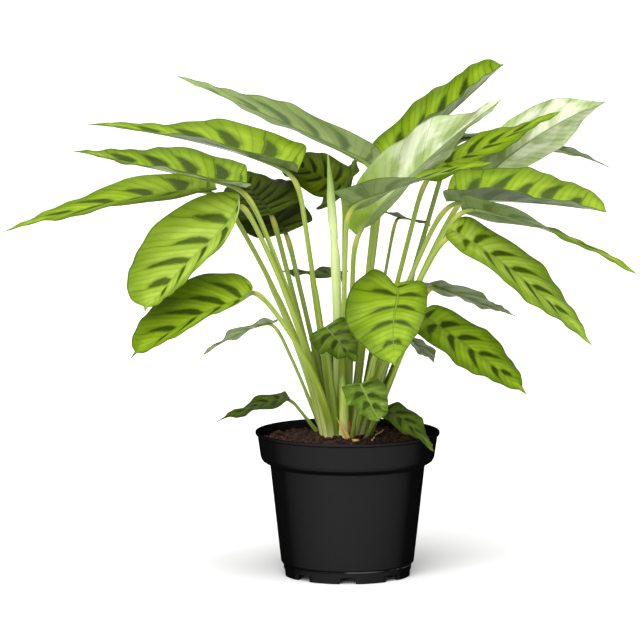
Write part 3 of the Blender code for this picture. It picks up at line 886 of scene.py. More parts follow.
@dataclass(frozen=True)
class Leaf:
    """One leaf: the numbers of its solid's shape, in metres and degrees, and its look.

    joint and tip are the ends of the midrib, and lift says how far the midrib's middle lies off the
    straight line between them. facing is the way that the upper side looks. fold raises both halves
    to a V, twist turns the blade from its base to its tip, and wave is the height of the margin's
    waves. lobe says how far the base reaches back beside the stalk, as a share of the length. sway is
    the stalk's own lift off the straight line from the soil to the joint.

    The rest are refinements that the solid does without. squareness is how full the base is, the
    less the fuller, and point how much the tip narrows. skew moves the midrib towards one margin, as
    a share of the half blade, and near_fold raises the half that lies towards the camera. spot_width
    is the width of a mark and stagger how far the marks of the halves are out of step, both as shares
    of a beat. sweep is how far the side veins run forward, and drip the length of the small point at
    the tip, both as shares of the length. trim is the share of its width that the narrow half loses on
    the way to the tip.
    """

    name: str
    joint: Triple
    tip: Triple
    width: float
    facing: Triple
    look: Look = Look.BRIGHT
    spots: float = 6.0
    lift: Triple = (0.0, 0.0, 0.0)
    fold: float = 12.0
    twist: float = 0.0
    wave: float = 0.0015
    waves: float = 2.5
    lobe: float = 0.10
    bluntness: float = 0.8
    shoulder: float = 0.62
    sway: Triple = (0.0, 0.0, 0.0)
    squareness: float = BASE_SQUARENESS
    point: float = 0.0
    skew: float = 0.0
    near_fold: float = 0.0
    spot_width: float = 0.50
    stagger: float = 0.30
    sweep: float = 0.11
    drip: float = 0.04
    trim: float = 0.0

    @property
    def large(self) -> bool:
        """Whether it is one of the full-grown leaves."""
        return self.width > LARGE_WIDTH

    @property
    def seed(self) -> float:
        """A number of its own for the fine unevenness."""
        return (sum(map(ord, self.name)) * 0.37) % 29.0

    def bent(self, start: Vector, lift: Vector, end: Vector, share: float) -> Vector:
        """A point on the curve from start to end whose middle lies off the straight line by lift."""
        return start.lerp(end, share) + lift * (4 * share * (1 - share))

    def blade_frame(self, share: float) -> tuple[Vector, Vector, Vector]:
        """The midrib's place, and the ways across and up from the blade there.

        Args:
            share: how far along the midrib, from 0 at the joint to 1 at the tip, or a little past.

        Returns:
            The place, and the two directions.
        """
        held = min(max(share, 0.0), 1.0)
        start, end, lift = Vector(self.joint), Vector(self.tip), Vector(self.lift)
        along = (end - start) + lift * (4 - 8 * held)
        place = self.bent(start, lift, end, held) + along * (share - held)
        along.normalize()
        up = Vector(self.facing)
        up = (up - along * up.dot(along)).normalized()
        across = along.cross(up)
        turn = math.radians(self.twist) * (held - 0.5)
        cosine, sine = math.cos(turn), math.sin(turn)
        return place, across * cosine + up * sine, up * cosine - across * sine

    def quilt(self, side: float, row: float) -> float:
        """How far the blade swells between two long veins, and its fine ripple at the margin.

        Args:
            side: -1 at one margin, 0 on the midrib and 1 at the other margin.
            row: 0 at the joint and 1 at the tip, along the side veins.

        Returns:
            The height, in metres.
        """
        out = abs(side)
        part = (row * self.spots + (self.stagger if side > 0 else 0.0) - SPOT_EDGE) % 1.0
        swell = abs(math.sin(math.pi * part)) ** 0.7 - 0.6
        ends = max(0.0, math.sin(math.pi * row)) ** 0.6
        room = smooth_step(0.04, 0.25, out) * (1 - 0.55 * out)
        grain = noise.noise(Vector((side * 3 + self.seed, row * 9, self.seed)))
        ripple = math.sin(math.tau * self.waves * 2.7 * row + self.seed) * out**4
        size = min(1.0, self.width / QUILT_WIDTH)
        height = SWELL_HEIGHT * swell * room + GRAIN_HEIGHT * grain * out + RIPPLE_HEIGHT * ripple
        return size * ends * height

    def half_width(self, row: float) -> float:
        """Half the blade's width at a row: full and round, with a drawn-out point.

        Args:
            row: 0 at the joint and 1 at the tip.

        Returns:
            The half width, in metres.
        """
        held = min(1.0, row / (1 - self.drip))
        half = math.sin(math.pi * held**self.shoulder) if held < 1 else 0.0
        fullness = self.squareness * (1 - held) + (BASE_SQUARENESS + self.bluntness) * held
        half = max(0.0, half) ** fullness * (1 - self.point * held**6)
        drawn = DRIP_WIDTH * smooth_step(0.6, 0.8, row) * min(1.0, (1 - row) / (DRIP_START * self.drip))
        return self.width / 2 * (half**3 + drawn**3) ** (1 / 3)

    def blade_point(self, side: float, row: float) -> Vector:
        """A point of the blade.

        Args:
            side: -1 at one margin, 0 on the midrib and 1 at the other margin.
            row: 0 at the joint and 1 at the tip, along the side veins.

        Returns:
            The point.
        """
        out = abs(side)
        relief = self.quilt(side, row)
        rib = row - RIB_SWEEP * math.sin(math.pi * row)
        row = min(1.0, row + self.sweep * math.sin(math.pi * row))
        half = self.half_width(row)
        lobe = self.lobe * (1 - self.skew * math.copysign(1.0, side))
        margin = row - lobe * math.sin(math.pi * min(1.0, row / LOBE_END))
        share = rib + (margin - rib) * out**VEIN_CURVE
        place, across, up = self.blade_frame(share)
        swing = math.sin(math.tau * self.waves * row + (WAVE_SHIFT if side > 0 else 0.0))
        wave = self.wave * swing * out**2 * max(0.0, math.sin(math.pi * row)) ** 0.5
        extra = self.near_fold if side * across.y < 0 else 0.0
        fold = math.radians(self.fold + extra) * (1 - FOLD_LOSS * row)
        droop = half * out * out * MARGIN_DROOP
        distance = half * out
        rise = distance * math.sin(fold) - droop + wave + relief
        held = min(1.0, row / (1 - self.drip))
        trimmed = 1 - self.trim * held if side * self.skew > 0 else 1.0
        reach = half * (self.skew + (side - self.skew * side * side) * trimmed) * math.cos(fold)
        return place + across * reach + up * rise


LEAVES = (
    Leaf("leaf_top_left", (0.024, 0.025, 0.309), (-0.130, 0.060, 0.375), 0.050, (0.1, 0.50, 0.86),
         Look.CLEAR, 6.5, lift=(0.0, 0.0, 0.001), fold=25, wave=0.0012, shoulder=0.70, squareness=0.5),
    Leaf("leaf_left_high", (-0.038, 0.010, 0.306), (-0.197, 0.025, 0.341), 0.060, (0.0, -0.25, 0.97),
         spots=5.5, lift=(0.0, 0.0, 0.006), fold=40, shoulder=0.50, bluntness=1.4, squareness=0.18,
         spot_width=0.62, sweep=0.05),
    Leaf("leaf_left_middle", (-0.076, -0.045, 0.300), (-0.205, -0.070, 0.330), 0.054,
         (0.0, -0.30, 0.95), Look.FRESH, 5.5, fold=36, shoulder=0.60, sway=(0.006, 0.0, 0.0),
         squareness=0.22, spot_width=0.62, sweep=0.05),
    Leaf("leaf_left_far", (-0.099, -0.015, 0.297), (-0.259, -0.030, 0.265), 0.044, (0.0, -0.40, 0.92),
         spots=5.5, lift=(0.0, 0.0, 0.005), fold=23, squareness=0.30, bluntness=0.9,
         sway=(0.012, 0.0, 0.0), near_fold=6),
    Leaf("leaf_left_broad", (-0.0815, -0.055, 0.2960), (-0.150, -0.105, 0.214), 0.064,
         (-0.35, -0.75, 0.55), Look.CLEAR, 5.5, lift=(-0.012, -0.006, -0.001), fold=8, lobe=0.05,
         shoulder=0.98, bluntness=-0.12, sway=(0.010, 0.0, 0.0), squareness=0.85, drip=0.05,
         sweep=0.15, spot_width=0.46, skew=-0.50, trim=0.85),
    Leaf("leaf_left_low", (-0.072, -0.050, 0.228), (-0.161, -0.095, 0.178), 0.049, (-0.2, -0.60, 0.77),
         spots=5.5, lift=(0.0, 0.0, 0.011), lobe=0.04, shoulder=0.95, bluntness=-0.08,
         sway=(0.014, 0.0, 0.0), squareness=0.65, sweep=0.15, drip=0.05, spot_width=0.46, skew=-0.62,
         trim=0.75),
    Leaf("leaf_left_small", (-0.056, 0.014, 0.192), (-0.110, 0.034, 0.164), 0.030, (0.0, 0.15, 0.98),
         Look.FRESH, lift=(0.0, 0.0, 0.003), fold=15, wave=0.002, sway=(0.002, 0.0, 0.0)),
    Leaf("leaf_left_rim", (-0.045, 0.045, 0.130), (-0.100, 0.035, 0.112), 0.026, (0.0, -0.20, 0.98),
         Look.SHADED, lift=(0.0, 0.0, 0.001), wave=0.002),
    Leaf("leaf_back_small", (-0.002, 0.078, 0.220), (-0.054, 0.100, 0.220), 0.028, (0.0, -0.10, 1.0),
         Look.SHADED, wave=0.002),
    Leaf("leaf_back_left_upper", (-0.057, 0.015, 0.274), (-0.089, 0.105, 0.300), 0.060,
         (-0.1, -0.55, 0.80), Look.DEEP_SHADED, 9, fold=10),
    Leaf("leaf_back_left_lower", (-0.046, 0.030, 0.258), (-0.081, 0.125, 0.287), 0.052,
         (-0.1, -0.55, 0.80), Look.DEEP_SHADED, 9, fold=10),
    Leaf("leaf_back_high", (-0.002, 0.050, 0.291), (-0.065, 0.065, 0.318), 0.044, (-0.2, -0.50, 0.85),
         Look.DEEP_SHADED, 7),
    Leaf("leaf_back_centre", (-0.013, 0.075, 0.274), (0.009, 0.125, 0.307), 0.036, (0.0, 0.60, 0.80),
         Look.DEEP_SHADED, 7),
    Leaf("leaf_centre_across", (-0.001, -0.035, 0.285), (0.107, -0.060, 0.320), 0.046, (0.0, 0.0, 1.0),
         lift=(0.0, 0.0, 0.003), fold=22, twist=-64, lobe=0.16),
    Leaf("leaf_centre_pale", (0.005, -0.012, 0.262), (0.117, 0.010, 0.362), 0.057, (-0.50, 0.75, 0.3),
         Look.PALE, lift=(-0.001, 0.0, 0.005), fold=46, wave=0.0035, waves=3.0, shoulder=0.9, point=0.7),
    Leaf("leaf_top_right", (0.028, 0.060, 0.301), (0.120, 0.075, 0.383), 0.060, (-0.6, -0.35, 0.72),
         Look.FRESH, fold=44, near_fold=10, shoulder=0.7, drip=0.02, bluntness=-0.2),
    Leaf("leaf_right_upper", (0.059, 0.032, 0.302), (0.162, 0.036, 0.350), 0.040, (-0.3, -0.40, 0.85)),
    Leaf("leaf_right_pale", (0.085, 0.020, 0.284), (0.200, 0.100, 0.352), 0.048, (-0.4, 0.85, 0.1),
         Look.PALE, lift=(0.0, 0.0, 0.009), fold=28, shoulder=1.25, bluntness=0.3,
         sway=(-0.008, 0.0, 0.0), squareness=0.9, point=0.6, wave=0.0030),
    Leaf("leaf_back_right", (0.081, 0.090, 0.325), (0.205, 0.130, 0.298), 0.044, (0.0, 0.20, 0.98),
         Look.SHADED, lift=(0.0, 0.0, 0.008), sway=(0.001, 0.005, 0.0)),
    Leaf("leaf_right_middle", (0.074, -0.020, 0.287), (0.194, -0.030, 0.280), 0.072,
         (0.1, -0.36, 0.93), lift=(0.0, -0.004, 0.004), fold=32, spots=6.5, spot_width=0.60,
         sweep=0.05, bluntness=-0.1, shoulder=0.75, sway=(-0.008, 0.0, 0.0), near_fold=20, drip=0.01,
         point=0.15),
    Leaf("leaf_right_far", (0.084, -0.050, 0.287), (0.214, -0.078, 0.239), 0.045, (0.2, 0.14, 0.97),
         lift=(0.0, 0.0, 0.007), shoulder=0.8, twist=-55, sway=(-0.010, 0.004, 0.0)),
    Leaf("leaf_right_droop", (0.075, -0.060, 0.271), (0.181, -0.085, 0.186), 0.054,
         (0.45, -0.45, 0.77), Look.CLEAR, 7, lift=(0.003, 0.0, 0.005), fold=18, shoulder=0.75,
         bluntness=0.3, sway=(-0.008, 0.0, 0.0), squareness=0.50, drip=0.06, spot_width=0.42),
    Leaf("leaf_right_low", (0.053, -0.035, 0.204), (0.133, -0.080, 0.149), 0.050, (0.4, -0.60, 0.7),
         Look.FRESH, 5.5, lift=(0.0, 0.0, 0.003), shoulder=0.85, bluntness=0.15, squareness=0.55,
         drip=0.06, spot_width=0.42),
    Leaf("leaf_right_small", (0.062, 0.015, 0.221), (0.130, 0.050, 0.191), 0.042, (0.2, 0.30, 0.93),
         Look.SHADED, sway=(0.0, 0.003, 0.0)),
    Leaf("leaf_back_right_low", (0.048, 0.026, 0.178), (0.067, 0.060, 0.154), 0.028, (0.3, 0.10, 0.95),
         Look.SHADED, sway=(0.0, 0.003, 0.0)),
    Leaf("leaf_front_heart", (0.034, -0.062, 0.230), (0.034, -0.137, 0.178), 0.061, (-0.1, -0.60, 0.8),
         Look.FRESH, 5.5, lift=(-0.0065, -0.004, 0.006), fold=6, lobe=0.34, shoulder=0.85,
         bluntness=0.05, squareness=1.05, point=0.25, sweep=0.05, stagger=0.0, skew=-0.25,
         spot_width=0.30),
    Leaf("leaf_front_dark", (-0.017, -0.035, 0.194), (0.007, -0.060, 0.171), 0.038, (0.0, -0.70, 0.7),
         Look.SHADED, 4.5, wave=0.0030, waves=3.5, squareness=0.65),
    Leaf("leaf_front_small", (0.009, -0.050, 0.153), (0.023, -0.079, 0.129), 0.033, (0.1, -0.70, 0.7),
         Look.TENDER, 3.5, wave=0.0028, waves=3.5, lobe=0.20, bluntness=-0.1, squareness=0.95,
         sweep=0.06, spot_width=0.46),
    Leaf("leaf_rim_right", (0.027, -0.030, 0.132), (0.064, -0.066, 0.104), 0.030, (0.3, -0.50, 0.8),
         Look.SHADED, 5, lift=(0.0, 0.0, 0.004)),
    Leaf("leaf_back_right_small", (0.037, 0.060, 0.267), (0.065, 0.130, 0.254), 0.034,
         (0.1, -0.30, 0.95), Look.SHADED),
    Leaf("leaf_inner_dark", (-0.011, 0.042, 0.145), (-0.027, 0.060, 0.173), 0.024, (0.0, -0.50, 0.85),
         Look.SHADED),
)


@dataclass
class LeafMaker:
    """Builds one leaf: its blade, and the stalk with its sheath, its joint and the rib below the blade.

    side_spread and row_spread set how much closer the grid's lines lie near the midrib and the joint.
    rib_ends are the rows between which the rib runs, rib_sink how far it lies below the blade, for the
    neck's radius, and rib_taper how much less at the tip. crown is the place that the stalks' feet are
    drawn in to, and foot_share how much of their way out they keep. Each sheath faces away from
    sheath_middle, give or take sheath_turn, in radians. sheath_reach is how far up it ends, for the
    stalk's length, sheath_lap how much lower it ends on one side, sheath_fade the shares before and
    after its end over which it thins, sheath_top its radii there for the neck's, and sheath_taper how
    evenly it narrows to them. The rib is thinner than the neck by the share rib_thinning, from the
    share rib_fade of its length on. groove, lip and swelling each have a height for the radius, a
    place and a breadth: groove and lip by the angle round the sheath, and swelling along the bar, with
    its place for the joint's. bar_ends are the shares of the bar's length that its ends are rounded
    over.
    """

    leaf: Leaf
    blade_thickness: float = 0.00045
    side_spread: float = 1.2
    row_spread: float = 1.25
    tip_weld: float = 0.00002
    stalk_points: int = 44
    rib_points: int = 30
    rib_ends: tuple[float, float] = (0.03, 0.90)
    rib_sink: float = 0.62
    rib_taper: float = 0.8
    bend_points: int = 4
    smoothing_rounds: int = 10
    crown: tuple[float, float] = (-0.004, 0.005)
    foot_share: float = 0.54
    sheath_middle: Triple = (0.0, 0.009, 0.0)
    sheath_reach: tuple[float, float] = (0.50, 0.68)
    sheath_turn: float = 0.6
    sheath_lap: float = 0.05
    sheath_fade: tuple[float, float] = (0.035, 0.01)
    sheath_top: tuple[float, float] = (1.35, 1.15)
    sheath_taper: float = 0.8
    rib_thinning: float = 0.84
    rib_fade: float = 0.45
    groove: Triple = (-0.16, math.pi * 0.5, 0.7)
    lip: Triple = (0.10, math.pi * 1.22, 0.16)
    swelling: Triple = (0.16, 0.965, 0.022)
    bar_ends: tuple[float, float] = (0.004, 0.01)

    @property
    def cells(self) -> Cells:
        """How finely the blade is divided, across and along."""
        return (30, 104) if self.leaf.large else (20, 56)

    @property
    def neck(self) -> float:
        """The stalk's radius above its sheath."""
        return 0.00185 if self.leaf.large else 0.00125

    @property
    def sheath(self) -> tuple[float, float]:
        """The sheath's radii at the soil, round the crown and away from it."""
        return (0.0041, 0.0031) if self.leaf.large else (0.0023, 0.0019)

    def blade(self) -> bpy.types.Object:
        """The blade, with its upper face and its underside.

        Returns:
            The mesh object.
        """
        leaf = self.leaf

        def place(across: float, along: float) -> Spot:
            """A point of the blade, where the grid is closer together near the midrib.

            Args:
                across: 0 at one margin and 1 at the other.
                along: 0 at the joint and 1 at the tip.

            Returns:
                The point and its UV.
            """
            side = across * 2 - 1
            side = math.copysign(abs(side) ** self.side_spread, side)
            row = min(1.0, along**self.row_spread)
            return leaf.blade_point(side, row), (side + 1) / 2, row

        piece = wrapped_grid(leaf.name + "_fine", self.cells, place)
        weld(piece, self.tip_weld)
        finish = leaf.look.value
        piece.data.materials.append(finish.upper())
        piece.data.materials.append(finish.lower())
        thicken(piece, self.blade_thickness)
        shade(piece, 50.0)
        return piece

    def foot(self) -> Vector:
        """Where the stalk starts in the soil: its solid's foot, drawn in to the crown.

        Real sheaths lie close round each other there.

        Returns:
            The point.
        """
        points = [vert.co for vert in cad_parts[self.leaf.name].data.vertices]
        lowest = min(points, key=lambda point: point.z)
        reach = 0.0070 if self.leaf.large else 0.0042
        ring = {tuple(point) for point in points if (point - lowest).length < reach}
        foot = sum(map(Vector, ring), Vector((0.0, 0.0, 0.0))) / len(ring)
        return Vector((*self.crown, foot.z)).lerp(foot, self.foot_share)

    def path(self) -> list[Vector]:
        """The middle of the stalk from the soil to the joint and on below the blade, with a soft bend.

        Returns:
            The points.
        """
        leaf = self.leaf
        foot, joint = self.foot(), Vector(leaf.joint)
        first_row, last_row = self.rib_ends
        stop = 1 - JOINT_BEND / (joint - foot).length
        points = []
        for step in range(self.stalk_points):
            share = stop * step / (self.stalk_points - 1)
            points.append(leaf.bent(foot, Vector(leaf.sway), joint, share))
        for step in range(self.rib_points):
            row = first_row + (last_row - first_row) * step / (self.rib_points - 1)
            up = leaf.blade_frame(row)[2]
            sink = self.neck * self.rib_sink * (1 - self.rib_taper * row)
            points.append(leaf.blade_point(0.0, row) - up * sink)
        bend = range(self.stalk_points - self.bend_points, self.stalk_points + self.bend_points)
        for _ in range(self.smoothing_rounds):
            moved = {i: (points[i - 1] + points[i] * 2 + points[i + 1]) / 4 for i in bend}
            for index, point in moved.items():
                points[index] = point
        return points

    def stalk(self) -> bpy.types.Object:
        """The stalk and the rib, one closed bar.

        Returns:
            The mesh object.
        """
        leaf, neck, sheath = self.leaf, self.neck, self.sheath
        points = self.path()
        last = len(points) - 1
        draw = random.Random(leaf.name)
        sheath_end = draw.uniform(*self.sheath_reach)
        joint_at = self.stalk_points / len(points)
        away = points[0] - Vector(self.sheath_middle)
        away.z = 0.0
        away.normalize()
        outward = Matrix.Rotation(draw.uniform(-self.sheath_turn, self.sheath_turn), 3, "Z") @ away
        height, place, breadth = self.swelling

        def radius(low: float, top: float, shrink: float, held: float) -> float:
            """The bar's radius, between its sheath's radius at the soil and at its end, or the neck's."""
            return neck + (low + (neck * top - low) * shrink**self.sheath_taper - neck) * held

        def ring(angle: float, share: float) -> Vector:
            """A point of the skin.

            Args:
                angle: how far round.
                share: how far along the bar, from the soil to the rib's end.

            Returns:
                The point.
            """
            where = share * last
            index = min(int(where), last - 1)
            middle = points[index].lerp(points[index + 1], where - index)
            before, after = points[max(index - 1, 0)], points[min(index + 2, last)]
            tangent = (after - before).normalized()
            wide = tangent.cross(outward)
            wide.normalize()
            deep = tangent.cross(wide)
            lower = share / joint_at
            side = math.cos(angle)
            end = sheath_end - (self.sheath_lap if side > 0 else 0.0)
            held = 1 - smooth_step(end - self.sheath_fade[0], end + self.sheath_fade[1], lower)
            shrink = min(1.0, lower / end)
            swelling = 1 + hump(share, height, joint_at * place, breadth)
            beyond = smooth_step(joint_at, joint_at + (1 - joint_at) * self.rib_fade, share)
            size = swelling * (1 - self.rib_thinning * beyond) * rounded(share, *self.bar_ends)
            size *= (1 + held * hump(angle, *self.groove)) * (1 + held * hump(angle, *self.lip))
            sideways = side * radius(sheath[0], self.sheath_top[0], shrink, held) * size
            across = math.sin(angle) * radius(sheath[1], self.sheath_top[1], shrink, held) * size
            return middle + wide * sideways + deep * across

        def mark(share: float) -> float:
            """Where a place on the bar lies on the stalk's map."""
            beyond = max(0.0, share - joint_at) / (1 - joint_at)
            return JOINT_MARK * min(1.0, share / joint_at) + (1 - JOINT_MARK) * beyond

        piece = tube(leaf.name + "_stalk", (18, 110) if leaf.large else (12, 70), ring, mark)
        # Leaves in shade get the stalk with painted shade.
        kind = Stalk.DEEP_SHADED if leaf.look in (Look.DEEP_SHADED, Look.SHADED) else Stalk.GREEN
        piece.data.materials.append(kind.value.make())
        shade(piece, 60.0)
        return piece

    def build(self) -> None:
        """Builds the leaf and hands it over in place of its solid."""
        leaf, piece, stalk = self.leaf, self.blade(), self.stalk()
        only(piece, stalk)
        bpy.ops.object.join()
        numbers = (leaf.seed, leaf.spots, leaf.spot_width, leaf.stagger)
        names = (SEED_ATTRIBUTE, SPOTS_ATTRIBUTE, SPOT_WIDTH_ATTRIBUTE, STAGGER_ATTRIBUTE)
        for name, number in zip(names, numbers):
            note(piece, name, number)
        hand_over(piece, "leaf_green", leaf.name)


# The young leaves


@dataclass(frozen=True)
class YoungFinish:
    """The skin of a rolled leaf: cream at the foot and green above, with long fine streaks."""

    name: str
    foot: Colour
    middle: Colour
    top: Colour
    streak: Colour

    def make(self) -> bpy.types.Material:
        """Lays the nodes.

        Returns:
            The material.
        """
        s = NodeSketch(self.name)
        along = s.uv()[1]
        fine = s.noise(s.around(2.2, 1.6), 3.4, 3.0, 0.6)
        colour = s.coats(
            self.foot,
            (s.rise(along, 0.10, 0.55), self.middle),
            (s.rise(along, 0.60, 0.95), self.top),
            (s.rise(fine, 0.50, 0.74, 0.6), self.streak),
        )
        s.bump(fine, LEAF_RELIEF, 0.5)
        return s.finish(colour, 0.40, 0.4)


@dataclass
class RolledBar:
    """A young leaf that is still rolled up: a slim bar with one overlapping edge that winds round it.

    Each of its points is a place and the bar's radius there. overlap is the edge's height, as a share
    of the radius, and edge its breadth, as a share of the way round. near is how far before and after
    a place the bar's heading is measured, in steps from point to point, and bar_ends the shares of its
    length that its ends are rounded over.
    """

    name: str
    node: str
    points: tuple[tuple[float, float, float, float], ...]
    turns: float
    overlap: float
    finish: YoungFinish
    cells: Cells = (24, 120)
    edge: float = 0.10
    near: float = 0.05
    bar_ends: tuple[float, float] = (0.004, 0.006)

    def build(self) -> None:
        """Builds the bar and hands it over in place of its solid."""
        points = [Vector(point[:3]) for point in self.points]
        radii = [point[3] for point in self.points]
        last = len(points) - 1

        def ring(angle: float, share: float) -> Vector:
            """A point of the rolled skin.

            Args:
                angle: how far round.
                share: how far up.

            Returns:
                The point.
            """
            where = share * last
            after, before = min(where + self.near, last), max(where - self.near, 0.0)
            ahead = spline(points, after) - spline(points, before)
            ahead.normalize()
            wide = ahead.cross(Vector((0.0, 1.0, 0.0))).normalized()
            deep = ahead.cross(wide)
            lap = ((angle / math.tau) + share * self.turns) % 1.0
            step = 1 + self.overlap * (smooth_step(0.0, self.edge, lap) - lap)
            radius = max(0.0001, spline(radii, where)) * step * rounded(share, *self.bar_ends)
            middle = spline(points, where)
            return middle + wide * math.cos(angle) * radius + deep * math.sin(angle) * radius

        piece = tube(self.name, self.cells, ring)
        piece.data.materials.append(self.finish.make())
        shade(piece, 60.0)
        hand_over(piece, "shoot_green", self.node)


YOUNG_LEAVES = (
    RolledBar(
        "rolled_leaf",
        "leaf_rolled",
        (
            (-0.007, -0.001, 0.089, 0.0032),
            (-0.007, -0.003, 0.145, 0.0032),
            (-0.008, -0.005, 0.186, 0.0030),
            (-0.009, -0.007, 0.238, 0.0033),
            (-0.010, -0.008, 0.255, 0.0025),
            (-0.012, -0.009, 0.276, 0.0032),
            (-0.013, -0.010, 0.298, 0.0022),
            (-0.015, -0.010, 0.322, 0.0005),
        ),
        turns=2.6,
        overlap=0.22,
        finish=YoungFinish(
            "rolled_leaf", lit(150, 166, 84), lit(190, 204, 138), lit(120, 142, 62), lit(132, 154, 62)
        ),
    ),
    RolledBar(
        "young_shoot",
        "shoot",
        (
            (-0.001, -0.010, 0.094, 0.0038),
            (-0.003, -0.012, 0.112, 0.0040),
            (-0.003, -0.014, 0.133, 0.0036),
            (-0.004, -0.014, 0.149, 0.0025),
            (-0.004, -0.014, 0.164, 0.0006),
        ),
        turns=0.7,
        overlap=0.20,
        finish=YoungFinish(
            "young_shoot", lit(206, 204, 142), lit(158, 178, 66), lit(96, 128, 54), lit(112, 142, 34)
        ),
        cells=(24, 60),
    ),
)


# The pot and the soil

# How high the pot's body reaches, up to the step under the collar, and how thick its wall is.
STEP_HEIGHT = 0.0845
WALL = 0.0013
# The most of a line between two corners that a fillet takes.
FILLET_SHARE = 0.45


def filleted(corners: Sequence[Triple], steps: int = 4) -> list[tuple[float, float]]:
    """A profile with its corners rounded.

    Args:
        corners: (radius, height, fillet) in metres, where a fillet of 0 keeps the corner sharp.
        steps: how many short lines make a fillet.

    Returns:
        The (radius, height) points.
    """
    made_points = []
    for index, (radius, height, fillet) in enumerate(corners):
        here = Vector((radius, height))
        if fillet == 0 or index in (0, len(corners) - 1):
            made_points.append((radius, height))
            continue
        before, after = Vector(corners[index - 1][:2]) - here, Vector(corners[index + 1][:2]) - here
        start = here + before.normalized() * min(fillet, before.length * FILLET_SHARE)
        end = here + after.normalized() * min(fillet, after.length * FILLET_SHARE)
        for step in range(steps + 1):
            share = step / steps
            point = start * (1 - share) ** 2 + here * (2 * share * (1 - share)) + end * share**2
            made_points.append((point.x, point.y))
    return made_points


def turned(name: str, profile: Sequence[tuple[float, float]], sides: int) -> bpy.types.Object:
    """A solid turned about the Z axis from a profile that starts and ends on the axis.

    Args:
        name: the object's name.
        profile: (radius, height) points, in metres.
        sides: how many sides it has round the axis.

    Returns:
        The mesh object.
    """
    last = len(profile) - 1

    def place(across: float, along: float) -> Spot:
        """A point of the turned skin.

        Args:
            across: how far round.
            along: how far along the profile.

        Returns:
            The point and its UV.
        """
        radius, height = profile[round(along * last)]
        angle = across * math.tau
        return Vector((radius * math.cos(angle), radius * math.sin(angle), height)), across, along

    piece = wrapped_grid(name, (sides, last), place)
    weld(piece, SEAM)
    turn_out(piece)
    return piece


